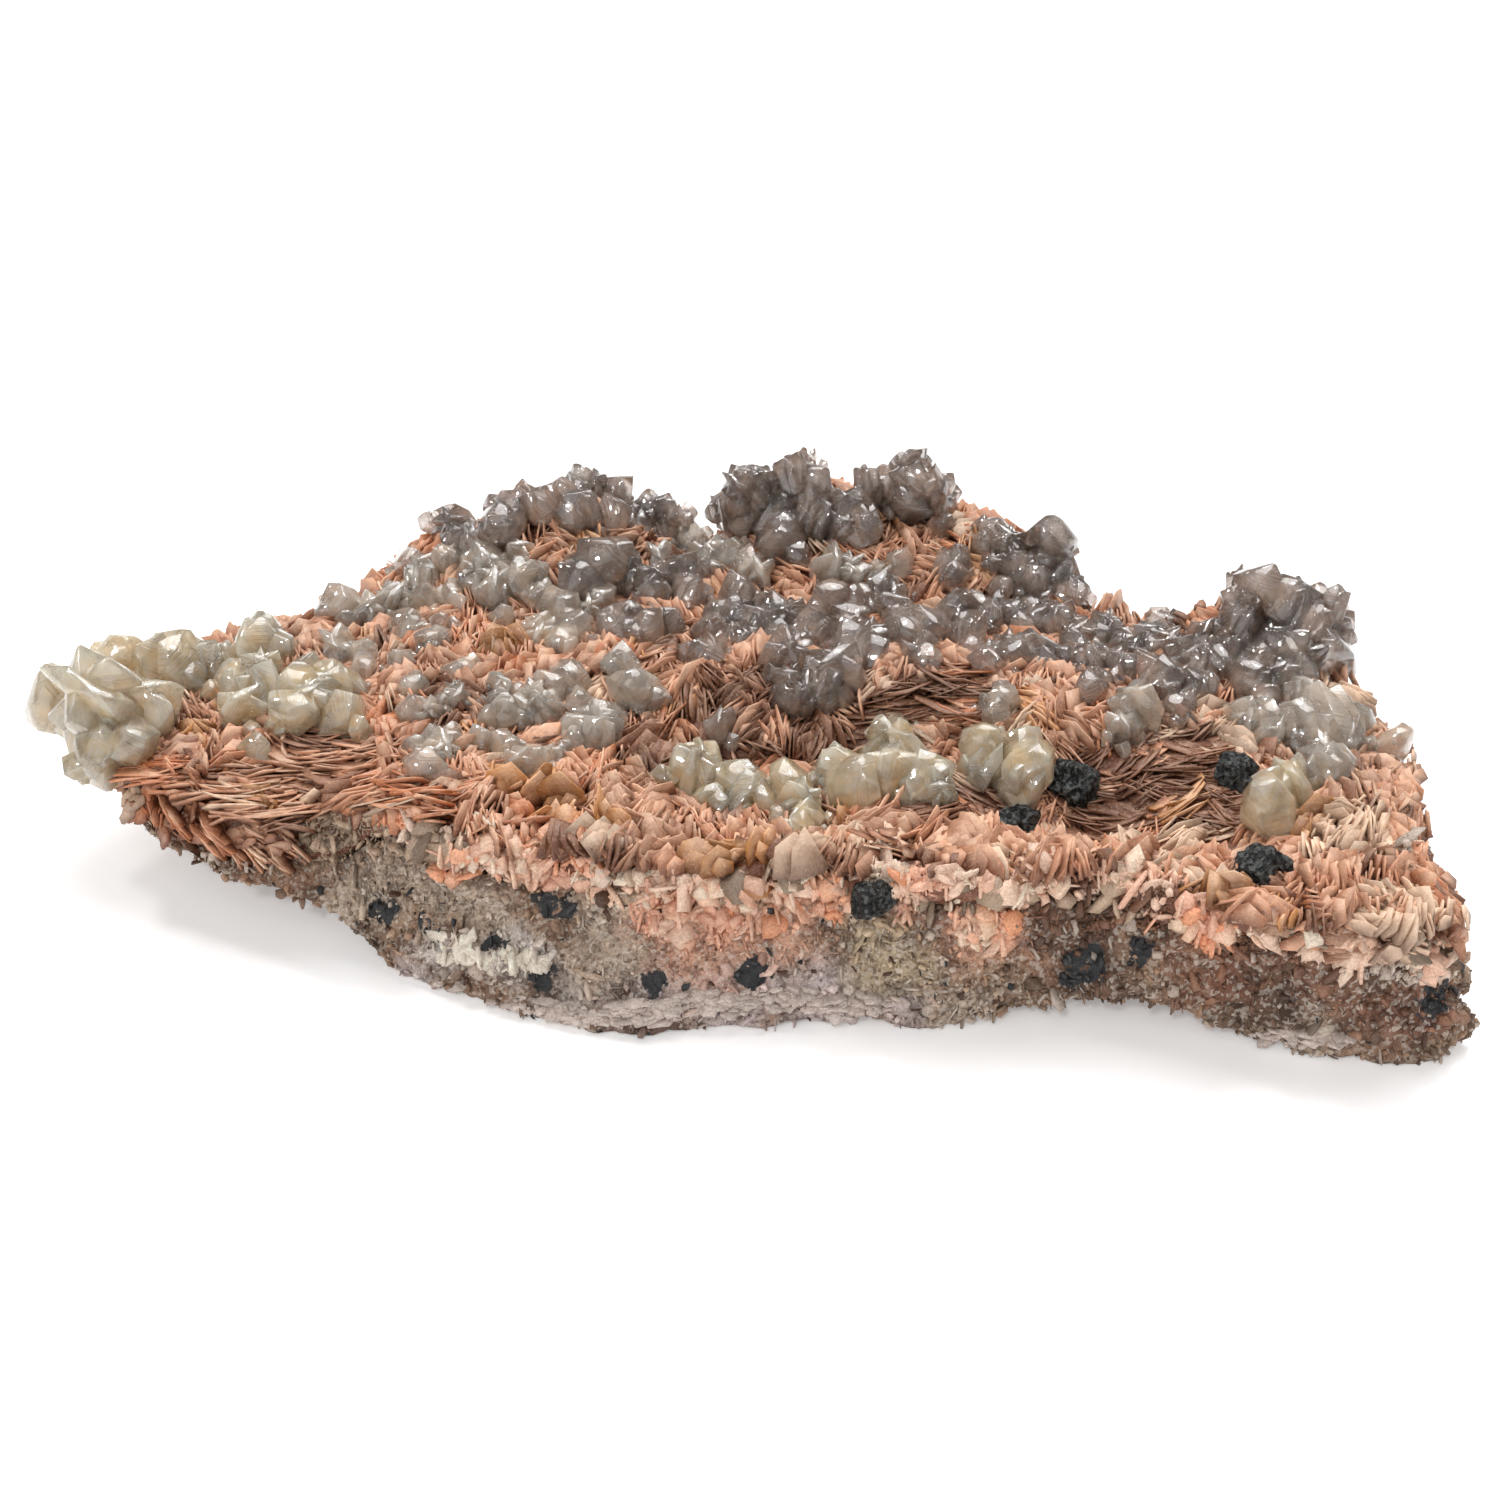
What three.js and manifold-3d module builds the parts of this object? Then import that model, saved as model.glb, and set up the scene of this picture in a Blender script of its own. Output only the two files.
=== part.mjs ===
// Cerussite on barite: a mineral plate as it rests on a table.
// A galena-spotted rock slab carries a crust of bladed pink barite, and clusters of cerussite crystals
// and a few galena nodules grew on the crust.
// Millimetres, +Z up. The origin is in the middle of the slab's flat resting patch, and +Y points to the back.
import * as THREE from "three";
import { ConvexGeometry } from "three/addons/geometries/ConvexGeometry.js";
import { mergeVertices } from "three/addons/utils/BufferGeometryUtils.js";
import Module from "manifold-3d";

const wasm = await Module();
wasm.setup();

// Driving dimensions
const CENTRE = [0, 4]; // plan point that the rings of the slab and the crust shrink towards
const RIM_STEPS = 72; // corners round the rim, halved once or twice towards the centre
const TOP_LEVEL = 29; // height of the crust between its lumps
const CRUST_THICKNESS = 7;
const GAP = 0.3; // free gap that touching pieces keep
const LEFT_LOBE = { from: -64, to: -84, lift: 11, thicker: 5, droop: 3 };

// Outlines seen from above, anticlockwise from the left end: the crust's rim x, y and the slab's foot below it x, y
const OUTLINE = [
  [-123, 8, -116, 8], [-119, -4, -114, -5], [-109, -13, -106, -15], [-96, -20, -93, -24], [-84, -23, -82, -29],
  [-76, -24, -74, -32], [-65, -28, -66, -36], [-54, -37, -54, -43], [-44, -38, -42, -49], [-35, -39, -34, -52],
  [-24, -43, -24, -56], [-11, -42, -12, -54], [1, -46, 1, -53], [14, -43, 14, -53], [25, -49, 25, -53],
  [36, -52, 36, -52], [48, -51, 47, -51], [60, -49, 60, -54], [73, -54, 73, -57], [83, -57, 84, -57],
  [93, -60, 94, -60], [105, -62, 107, -63], [115, -62, 119, -62], [121, -56, 125, -56], [121, -45, 122, -44],
  [120, -30, 117, -29], [121, -14, 116, -13], [119, 0, 112, 1], [114, 12, 107, 12], [113, 26, 106, 24],
  [106, 39, 98, 35], [94, 42, 88, 37], [83, 42, 78, 38], [76, 47, 71, 43], [68, 53, 64, 49],
  [63, 62, 58, 57], [56, 72, 50, 65], [47, 79, 42, 71], [37, 83, 32, 75], [24, 85, 21, 77],
  [10, 85, 9, 77], [-4, 82, -4, 75], [-15, 79, -15, 72], [-27, 82, -26, 75], [-41, 83, -39, 76],
  [-57, 80, -54, 73], [-70, 76, -66, 69], [-79, 73, -75, 66], [-84, 61, -80, 56], [-92, 51, -88, 47],
  [-107, 46, -102, 42], [-118, 34, -112, 31], [-124, 20, -117, 18],
];

// Lumps and hollows of the crust: x, y, spread, rise
const SURFACE_LUMPS = [
  [-30, -40, 13, 2], [0, -46, 13, 2.5], [30, -48, 12, 3], [55, -50, 13, 5], [-62, -24, 12, 3],
  [-8, -34, 11, -6], [-34, -28, 12, -4], [22, -36, 10, -3], [58, -28, 17, -7], [84, -36, 9, -3],
  [-6, -8, 13, -7], [18, -8, 11, -5], [2, 14, 17, 6], [34, 14, 17, 6], [64, 8, 18, 5],
  [-28, 26, 14, 4], [14, 81, 19, 14], [48, 68, 16, 10], [-40, 74, 18, 12], [-64, 76, 14, 6], [38, 84, 10, 5],
  [-14, 78, 9, -5], [14, 40, 10, -2], [-88, 12, 18, 4], [-56, 12, 14, 2], [104, 33, 15, 10],
  [104, -52, 14, 2], [108, -26, 12, 4], [-96, 34, 12, 3],
];

// Arches and hollows of the underside: x, y, spread, rise
const UNDERSIDE_LUMPS = [
  [66, -58, 16, 10], [14, -62, 9, 3], [124, -34, 16, 7], [-20, 86, 30, 5], [70, 60, 26, 9], [-84, 62, 24, 6],
];

// The view that the crystals' places below are read in: a pinhole camera looking at the plate
const VIEW = { pixels: 1512, fieldOfView: 36, elevation: 31, distance: 450, target: [0, 0, 25] };

// Cerussite crystals: across and down in the view, radius in millimetres, and a lift off the crust
const CERUSSITE = {
  cerussite_honey_left_end: [
    [57, 698, 5.8, 3], [110, 708, 9.2, 3], [143, 722, 6], [102, 748, 6, -3], [102, 768, 4.2, -5], [120, 657, 4.8, 6],
    [173, 662, 6.6, 2], [204, 667, 5], [258, 654, 5.6], [278, 650, 4.4], [84, 672, 3, 3],
  ],
  cerussite_honey_left: [
    [240, 688, 5.6], [263, 675, 4.2, 2], [245, 710, 5], [301, 690, 5.2, 1], [329, 682, 4.8], [342, 716, 5.2],
    [293, 713, 5.2, 1], [255, 752, 3.4],
  ],
  cerussite_pale_upper_left: [
    [342, 606, 5, 1], [371, 612, 4.2], [393, 603, 4], [425, 599, 3.6], [338, 648, 4], [361, 655, 3.6],
  ],
  cerussite_smoky_back_left: [
    [435, 523, 4], [460, 526, 4.4], [502, 526, 5.8, 2], [514, 508, 4.4, 3], [476, 545, 3.8], [541, 507, 4.2, 2],
    [567, 499, 3.8, 3], [584, 479, 3.2, 6], [590, 495, 3.4, 4], [618, 495, 3.8, 3], [573, 518, 4.4], [611, 520, 4.4],
    [647, 510, 3.4, 1], [640, 525, 3.8], [668, 528, 3.4], [685, 514, 3, 1],
  ],
  cerussite_pale_back_slope: [
    [412, 567, 4], [419, 583, 3.6], [473, 583, 3.8], [486, 565, 4.4], [495, 593, 4.6], [527, 580, 4.4],
    [556, 603, 4], [502, 618, 3.4], [572, 631, 4.8],
  ],
  cerussite_smoky_band: [
    [602, 562, 6.4, 3], [627, 566, 4.4], [580, 587, 4.6], [682, 577, 4.4], [694, 596, 4], [650, 593, 4],
    [736, 596, 4.4, 1], [615, 628, 5], [647, 631, 5], [669, 626, 4.2], [707, 658, 4.8, -1], [778, 612, 4.4],
    [829, 600, 4.8, 1], [809, 636, 5.4, 1], [781, 660, 5], [838, 673, 6.4], [857, 655, 4.6], [822, 692, 4.8, -1],
    [787, 699, 4.8, -2], [873, 642, 4.2], [880, 593, 4.4], [905, 636, 5.4], [927, 629, 5, 1], [966, 606, 4.4, 1],
    [969, 635, 5], [950, 619, 4.2], [988, 619, 4.2], [1013, 615, 3.8], [1010, 650, 4.2], [1036, 657, 4.8],
    [1039, 622, 3.8], [1061, 625, 4.2], [1080, 638, 3.8], [1065, 660, 3.6], [1093, 663, 4], [1106, 628, 4],
    [1128, 644, 3.8], [927, 660, 3.6],
  ],
  cerussite_smoky_back: [
    [742, 487, 4, 11], [762, 482, 3.4, 9], [793, 476, 4.6, 7], [816, 479, 3.6, 7], [717, 510, 3.2], [746, 513, 5.6, 2],
    [784, 504, 4.4, 2], [781, 541, 5.8], [809, 516, 4.8], [857, 504, 4.4, 2], [860, 526, 5.4], [838, 526, 4],
    [867, 483, 3.2, 6], [889, 480, 2.8, 6], [915, 464, 3.2, 11], [915, 484, 4.4, 7], [937, 489, 4.2, 6], [908, 502, 4.2, 2],
    [942, 527, 3.6],
  ],
  cerussite_smoky_back_right: [
    [956, 560, 4], [953, 577, 4], [994, 534, 4, 1], [1004, 549, 4], [1050, 541, 5.2, 5], [1017, 568, 4.8],
    [1042, 568, 4.4], [1065, 577, 4], [1068, 593, 3.6], [1029, 583, 4.4],
  ],
  cerussite_pale_middle: [[829, 568, 4.4], [854, 577, 3.6], [733, 558, 4.6]],
  cerussite_smoky_right: [
    [1262, 587, 4.6, 6], [1237, 602, 3.6, 4], [1288, 603, 5.2, 4], [1317, 600, 3.8, 4], [1336, 603, 3.2, 5],
    [1303, 626, 5.6, 2], [1337, 625, 3.8, 2], [1288, 649, 5.4], [1326, 655, 4.8], [1245, 626, 4.8, 1], [1205, 634, 3.8],
    [1159, 620, 3.8], [1150, 641, 3.6], [1234, 643, 4], [1248, 678, 4.8], [1285, 681, 4], [1145, 670, 4.6],
    [1173, 684, 4], [1199, 689, 4], [1205, 658, 3.6],
  ],
  cerussite_pale_right: [
    [1139, 712, 4.8], [1325, 724, 6.4, 2], [1323, 753, 4.8], [1334, 773, 4.4], [1354, 720, 3.8, 1], [1268, 724, 4],
  ],
  cerussite_pale_right_edge: [[1394, 745, 3.8, 1]],
  cerussite_honey_front_right: [[1268, 806, 6.2, 2], [1294, 786, 4.6, 1]],
  cerussite_honey_front_row: [
    [691, 778, 4.8, 1], [704, 762, 3.8, 2], [736, 783, 4.8, 1], [790, 784, 4.6, 1], [806, 810, 3.4], [854, 786, 5.6, 1],
    [892, 776, 5.2, 1], [927, 778, 4.4, 1], [829, 776, 3.8], [905, 745, 4.2, 1], [886, 735, 3.8, 1],
  ],
  cerussite_honey_front_pair: [[982, 745, 4.6, 2], [1029, 768, 5.8, 2], [1017, 790, 3.8]],
  cerussite_pale_centre: [[570, 680, 4.6], [634, 688, 5.2, 1], [605, 725, 4.2], [589, 719, 3.6], [529, 706, 4.2], [548, 712, 3.6]],
  cerussite_pale_front_left: [[436, 756, 3.6], [427, 771, 3.8]],
  cerussite_smoky_hollow: [[720, 727, 3.8, 1]],
  cerussite_pale_hollow: [[1002, 700, 3.8, 1], [998, 717, 3.6]],
};

// Galena nodules: across and down in the view, radius in millimetres, and a lift off the crust
const GALENA = [[1076, 787, 5, 0], [1258, 882, 5.8, -1.5], [1236, 779, 4.6, -0.5], [1014, 826, 4.4, -1], [872, 906, 4.6, -5]];

// Fans of barite blades: x, y, heading of the blades in degrees, how many, blade length
const BLADE_FANS = [
  [-41, -33, 20, 2, 12], [-27, -38, -15, 2, 13], [-11, -38, 35, 2, 12], [4, -41, -40, 2, 13], [18, -40, 10, 2, 12],
  [33, -47, -25, 2, 13], [48, -46, 50, 3, 15], [63, -45, -20, 2, 14], [77, -50, 75, 2, 12], [96, -55, 15, 3, 14],
  [110, -57, -30, 3, 15], [116, -46, 60, 2, 13], [104, -44, 0, 2, 13], [92, -44, -60, 2, 12], [112, -31, 20, 2, 13],
  [97, -24, -35, 2, 13], [88, -12, 30, 3, 15], [62, -36, 5, 2, 14], [72, -26, -20, 2, 14], [58, -20, 30, 2, 13],
  [46, -32, -10, 2, 12], [14, -22, 40, 2, 12], [-14, -14, 70, 2, 12], [-2, -28, 15, 2, 12], [-112, -5, -20, 2, 13],
  [-99, -13, 10, 3, 14], [-86, -17, -15, 2, 15], [-73, -19, 5, 2, 14], [-58, -28, 20, 2, 13], [-45, -20, -30, 2, 12],
  [-62, 2, 30, 2, 12], [-28, -14, 0, 2, 13], [-44, 4, -25, 2, 12], [-98, 36, -10, 2, 14], [-84, 42, 30, 2, 12],
  [-64, 46, -20, 2, 12], [-72, 64, 60, 2, 12], [-42, 46, 50, 1, 12], [14, 44, 20, 1, 12], [30, 40, -45, 1, 12],
  [112, -12, 40, 2, 12], [70, 42, 15, 2, 12], [-18, 74, -15, 2, 12], [24, 58, 30, 1, 12], [92, 32, -10, 2, 12],
];
const BLADE_THICKNESS = 2;

// A repeatable number from 0 to 1 for each whole number asked for
function chance(n) {
  const s = Math.sin(n * 127.1 + 311.7) * 43758.5453;
  return s - Math.floor(s);
}

const between = (low, high, n) => low + (high - low) * chance(n);

function ease(from, to, value) {
  const t = Math.min(1, Math.max(0, (value - from) / (to - from)));
  return t * t * (3 - 2 * t);
}

const heap = (lumps, x, y) =>
  lumps.reduce((sum, [cx, cy, spread, rise]) => sum + rise * Math.exp(-((x - cx) ** 2 + (y - cy) ** 2) / spread ** 2), 0);

const leftShare = (x) => ease(LEFT_LOBE.from, LEFT_LOBE.to, x);

// Top of the crust, without its blades
const surface = (x, y) => TOP_LEVEL - LEFT_LOBE.droop * leftShare(x) + heap(SURFACE_LUMPS, x, y);

// Top of the rock slab
const rockTop = (x, y) => surface(x, y) - CRUST_THICKNESS - LEFT_LOBE.thicker * leftShare(x);

// Underside of the rock slab, flat at zero where it rests
function underside(x, y, share) {
  const rise = LEFT_LOBE.lift * leftShare(x) + heap(UNDERSIDE_LUMPS, x, y);
  return Math.max(0, rise + 1.8 * ease(0.86, 1, share) - 1.5);
}

// Solids

function solidOf(geometry) {
  const bare = geometry.clone();
  bare.deleteAttribute("normal");
  bare.deleteAttribute("uv");
  const merged = mergeVertices(bare, 1e-4);
  return new wasm.Manifold(
    new wasm.Mesh({
      numProp: 3,
      vertProperties: merged.getAttribute("position").array,
      triVerts: new Uint32Array(merged.index.array),
    }),
  );
}

function geometryOf(solid) {
  const mesh = solid.getMesh();
  return new THREE.BufferGeometry()
    .setAttribute("position", new THREE.BufferAttribute(mesh.vertProperties, 3))
    .setIndex(new THREE.BufferAttribute(mesh.triVerts, 1))
    .toNonIndexed();
}

const joined = (solids) => wasm.Manifold.union(solids);

const largestBody = (solid) => solid.decompose().sort((a, b) => b.volume() - a.volume())[0];

// Rings of points, placed from the matching points of the crust's rim and of the slab's foot
const outlinePoints = (pick) => {
  const curve = new THREE.CatmullRomCurve3(OUTLINE.map((row) => new THREE.Vector3(...pick(row), 0)), true);
  return Array.from({ length: RIM_STEPS }, (_, i) => curve.getPoint(i / RIM_STEPS));
};
const RIM_POINTS = outlinePoints(([x, y]) => [x, y]);
const FOOT_POINTS = outlinePoints(([, , x, y]) => [x, y]);

function ring(count, place) {
  return Array.from({ length: count }, (_, i) => {
    const at = (i * RIM_STEPS) / count;
    return place(RIM_POINTS[at], i, FOOT_POINTS[at]);
  });
}

function shrunk(point, share) {
  return [CENTRE[0] + (point.x - CENTRE[0]) * share, CENTRE[1] + (point.y - CENTRE[1]) * share];
}

// One closed solid from a stack of rings, from the top's middle point over the side to the bottom's middle point
function solidOfRings(topPoint, rings, bottomPoint) {
  const triangles = [];
  const face = (a, b, c) => triangles.push(...a, ...b, ...c);
  const at = (r, i) => r[(i + r.length) % r.length];
  const first = rings[0];
  first.forEach((p, i) => face(topPoint, p, at(first, i + 1)));
  rings.slice(1).forEach((lower, k) => {
    const upper = rings[k];
    if (lower.length === upper.length) {
      upper.forEach((p, i) => {
        face(p, lower[i], at(lower, i + 1));
        face(p, at(lower, i + 1), at(upper, i + 1));
      });
    } else if (lower.length > upper.length) {
      upper.forEach((p, i) => {
        face(p, at(lower, 2 * i), at(lower, 2 * i + 1));
        face(p, at(lower, 2 * i + 1), at(upper, i + 1));
        face(at(upper, i + 1), at(lower, 2 * i + 1), at(lower, 2 * i + 2));
      });
    } else {
      lower.forEach((p, i) => {
        face(at(upper, 2 * i), p, at(upper, 2 * i + 1));
        face(at(upper, 2 * i + 1), p, at(lower, i + 1));
        face(at(upper, 2 * i + 1), at(lower, i + 1), at(upper, 2 * i + 2));
      });
    }
  });
  const last = rings[rings.length - 1];
  last.forEach((p, i) => face(bottomPoint, at(last, i + 1), p));
  const geometry = new THREE.BufferGeometry();
  geometry.setAttribute("position", new THREE.Float32BufferAttribute(triangles, 3));
  return solidOf(geometry);
}

// The rings that the slab's top and the crust's bottom share: share of the rim and number of points
const SEAM_RINGS = [[0.3, RIM_STEPS / 4], [0.64, RIM_STEPS / 2], [0.97, RIM_STEPS]];

const seamRings = (lift) =>
  SEAM_RINGS.map(([share, count]) =>
    ring(count, (p) => {
      const [x, y] = shrunk(p, share);
      return [x, y, rockTop(x, y) + lift];
    }),
  );

// The broken side of the slab: share of the way down from the rim to the foot, swell as a share, roughness
const SIDE_RINGS = [[0.08, 0, 0.004], [0.32, 0.012, 0.018], [0.58, 0.016, 0.02], [0.84, 0.012, 0.014], [1, 0.006, 0.006]];
const BOTTOM_RINGS = [[0.8, RIM_STEPS], [0.52, RIM_STEPS / 2], [0.26, RIM_STEPS / 4]];

function rockSlab() {
  const side = SIDE_RINGS.map(([down, swell, roughness], k) =>
    ring(RIM_STEPS, (p, i, foot) => {
      const way = p.clone().lerp(foot, down);
      const [x, y] = shrunk(way, 1 + swell + roughness * between(-1, 1, i * 7 + k * 131));
      const top = rockTop(p.x, p.y);
      const low = underside(foot.x, foot.y, 1);
      const uneven = down < 1 ? between(-0.06, 0.06, i * 13 + k * 17) : 0;
      return [x, y, low + (top - low) * (1 - down - uneven)];
    }),
  );
  const bottom = BOTTOM_RINGS.map(([share, count]) =>
    ring(count, (p, i, foot) => {
      const [x, y] = shrunk(foot, share);
      return [x, y, underside(x, y, share)];
    }),
  );
  const middle = [...CENTRE, rockTop(...CENTRE)];
  return solidOfRings(middle, [...seamRings(0), ...side, ...bottom], [...CENTRE, underside(...CENTRE, 0)]);
}

// The crust's top rings: share of the rim, number of points, roughness in millimetres
const CRUST_RINGS = [
  [0.16, RIM_STEPS / 4, 0.8], [0.32, RIM_STEPS / 2, 1.2], [0.5, RIM_STEPS / 2, 1.3], [0.68, RIM_STEPS, 1.3],
  [0.84, RIM_STEPS, 1.2], [0.97, RIM_STEPS, 0.6],
];
const CRUST_BULGE = 1.02;

function crustBed() {
  const top = CRUST_RINGS.map(([share, count, roughness], k) =>
    ring(count, (p, i) => {
      const [x, y] = shrunk(p, share + 0.02 * between(-1, 1, i * 3 + k * 57));
      return [x, y, surface(x, y) + roughness * between(-1, 1, i * 11 + k * 29)];
    }),
  );
  const bulge = ring(RIM_STEPS, (p, i) => {
    const [x, y] = shrunk(p, CRUST_BULGE + 0.012 * between(-1, 1, i * 5));
    return [x, y, (surface(x, y) + rockTop(x, y)) / 2 + between(-1, 1, i * 19)];
  });
  const bottom = seamRings(GAP).reverse();
  const lowest = [...CENTRE, rockTop(...CENTRE) + GAP];
  return solidOfRings([...CENTRE, surface(...CENTRE)], [...top, bulge, ...bottom], lowest);
}

// A point of the view laid on a plane at a height
function underView(across, down, height) {
  const tilt = THREE.MathUtils.degToRad(VIEW.elevation);
  const focal = VIEW.pixels / 2 / Math.tan(THREE.MathUtils.degToRad(VIEW.fieldOfView / 2));
  const back = new THREE.Vector3(0, -Math.cos(tilt), Math.sin(tilt));
  const up = new THREE.Vector3(0, Math.sin(tilt), Math.cos(tilt));
  const eye = new THREE.Vector3(...VIEW.target).addScaledVector(back, VIEW.distance);
  const ray = new THREE.Vector3((across - VIEW.pixels / 2) / focal, 0, 0)
    .addScaledVector(up, (VIEW.pixels / 2 - down) / focal)
    .sub(back);
  return eye.addScaledVector(ray, (height - eye.z) / ray.z);
}

// Where a lump of that radius sits on the crust so that the view shows it at a place
function seatOf([across, down, radius, lift = 0], sunk) {
  let height = TOP_LEVEL;
  let place;
  for (let step = 0; step < 12; step += 1) {
    place = underView(across, down, height);
    height += (surface(place.x, place.y) + radius * sunk + lift - height) * 0.7;
  }
  return place.setZ(height);
}

const CRYSTAL_FULLNESS = 1.08; // the solid crystals are a little fuller than the view shows, so that neighbours join

// Unit crystal: a stubby six-sided lump with a blunt end
const CRYSTAL_RINGS = [[6, 1.08, 0.06, 0], [3, 0.62, 0.92, 0.4], [3, 0.76, -0.78, 0.3]];

// Corners of a lump from rings of corners round its axis: how many, reach, level, turn
function ringPoints(rings, seed, least, most) {
  return rings.flatMap(([count, reach, level, turn], k) =>
    Array.from({ length: count }, (_, i) => {
      const angle = turn + ((i + 0.24 * between(-1, 1, seed + k * 31 + i)) * 2 * Math.PI) / count;
      const out = reach * between(least, most, seed * 3 + k * 7 + i);
      return new THREE.Vector3(out * Math.cos(angle), out * Math.sin(angle), level * between(least, most, seed + i * 5));
    }),
  );
}

function crystal(row, seed) {
  const radius = row[2] * CRYSTAL_FULLNESS;
  const turned = new THREE.Euler(between(-0.7, 0.7, seed * 5), between(-0.7, 0.7, seed * 7), between(0, 3, seed * 11));
  const shape = new ConvexGeometry(ringPoints(CRYSTAL_RINGS, seed, 0.9, 1.08));
  shape.scale(radius, radius * between(0.86, 1, seed * 13), radius * between(0.92, 1.15, seed * 17));
  shape.applyMatrix4(new THREE.Matrix4().makeRotationFromEuler(turned));
  const seat = seatOf(row, 0.45);
  shape.translate(seat.x, seat.y, seat.z);
  return { solid: solidOf(shape), seat, radius };
}

// Unit blade outline, along the length and up: a crest that stands on its straight foot
const BLADE_OUTLINE = [[-0.5, -0.5], [-0.3, 0.42], [0.22, 0.5], [0.5, -0.5]];

function blade(x, y, heading, lean, length, height) {
  const half = BLADE_THICKNESS / 2;
  const points = BLADE_OUTLINE.flatMap(([along, up]) => {
    const thin = up > 0 ? 0.45 : 1;
    return [-half, half].map((side) => new THREE.Vector3(along * length, side * thin, up * height));
  });
  const shape = new ConvexGeometry(points);
  shape.applyMatrix4(new THREE.Matrix4().makeRotationFromEuler(new THREE.Euler(lean, 0, heading, "ZYX")));
  shape.translate(x, y, surface(x, y) + height * 0.12);
  return solidOf(shape);
}

function bladesOf([x, y, heading, count, length], seed, taken) {
  const angle = THREE.MathUtils.degToRad(heading);
  const free = (px, py) => taken.every(({ seat, radius }) => Math.hypot(px - seat.x, py - seat.y) > radius + length * 0.5);
  return Array.from({ length: count }, (_, i) => i - (count - 1) / 2)
    .map((k) => [x - Math.sin(angle) * k * 3.2, y + Math.cos(angle) * k * 3.2, k])
    .filter(([px, py]) => free(px, py))
    .map(([px, py, k]) =>
      blade(px, py, angle + 0.2 * k, -0.34 * k + between(-0.2, 0.2, seed + k), length * between(0.8, 1.05, seed * 3 + k), 11),
    );
}

// Unit nodule: a rounded lump
const NODULE_RINGS = [[6, 0.98, 0.05, 0], [5, 0.72, 0.68, 0.4], [1, 0.05, 1, 0], [5, 0.8, -0.6, 0.9], [1, 0.05, -0.95, 0]];

function nodule(row, seed, grow) {
  const radius = row[2] + grow;
  const shape = new ConvexGeometry(ringPoints(NODULE_RINGS, seed, 0.94, 1.06));
  shape.scale(radius, radius, radius);
  const seat = seatOf(row, 0.1);
  shape.translate(seat.x, seat.y, seat.z);
  return { solid: solidOf(shape), seat, radius };
}

// Materials

const stoneLike = (color, roughness) => new THREE.MeshStandardMaterial({ color, roughness, metalness: 0 });
const ROCK = stoneLike(0x8a7462, 0.9);
const BARITE = stoneLike(0xd9a58e, 0.6);
const GALENA_GREY = new THREE.MeshStandardMaterial({ color: 0x34373a, roughness: 0.45, metalness: 0.5 });
const TONES = { honey: stoneLike(0xd9cfae, 0.15), pale: stoneLike(0xd8ccc0, 0.15), smoky: stoneLike(0x9b8e8a, 0.15) };

const plate = new THREE.Group();

function addPiece(name, solid, material) {
  const mesh = new THREE.Mesh(geometryOf(solid), material);
  mesh.name = name;
  plate.add(mesh);
}

// The plate

const SMALLEST_CRYSTAL = 4.2; // radius in millimetres; smaller crystals are only fine grain between these
const SMALLEST_PIECE = 215; // cubic millimetres; a smaller one is only fine grain too

const nodules = GALENA.map((row, i) => nodule(row, i + 1, 0));
const noduleHollows = joined(GALENA.map((row, i) => nodule(row, i + 1, GAP * 1.5).solid));
const crystals = Object.entries(CERUSSITE).flatMap(([name, rows], k) =>
  rows.filter(([, , radius]) => radius >= SMALLEST_CRYSTAL).map((row, i) => ({ name, ...crystal(row, k * 100 + i + 1) })),
);

const bed = crustBed();
const slab = rockSlab();
const roomForSlab = slab.scale([1.003, 1.003, 1]).translate(0, 0, GAP * 0.9);
const blades = BLADE_FANS.flatMap((fan, i) => bladesOf(fan, i * 17 + 5, [...crystals, ...nodules]));
const crust = joined([bed, ...blades]).subtract(joined([roomForSlab, noduleHollows]));
const roomForBed = joined([bed.scale([1.004, 1.004, 1]), bed.translate(0, 0, GAP)]);

addPiece("rock_matrix", largestBody(slab.subtract(noduleHollows)), ROCK);
addPiece("barite_crust", largestBody(crust), BARITE);
nodules.forEach(({ solid }, i) => addPiece(`galena_nodule_${i + 1}`, solid, GALENA_GREY));

// Crystals that overlap are one piece, which takes the name of the group that most of them belong to
const grown = joined(crystals.map(({ solid }) => solid)).subtract(joined([roomForBed, noduleHollows]));
const clusters = grown.decompose().filter((body) => body.volume() > SMALLEST_PIECE);
clusters.sort((a, b) => b.volume() - a.volume());

function groupOf(body) {
  const { min, max } = body.boundingBox();
  const inside = crystals.filter(({ seat }) => seat.toArray().every((v, k) => v > min[k] && v < max[k]));
  const names = inside.map(({ name }) => name);
  return names.sort((a, b) => names.filter((n) => n === b).length - names.filter((n) => n === a).length)[0];
}

const used = {};
clusters.forEach((body) => {
  const group = groupOf(body);
  used[group] = (used[group] ?? 0) + 1;
  addPiece(used[group] > 1 ? `${group}_${used[group]}` : group, body, TONES[group.split("_")[1]]);
});

export default plate;
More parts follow.
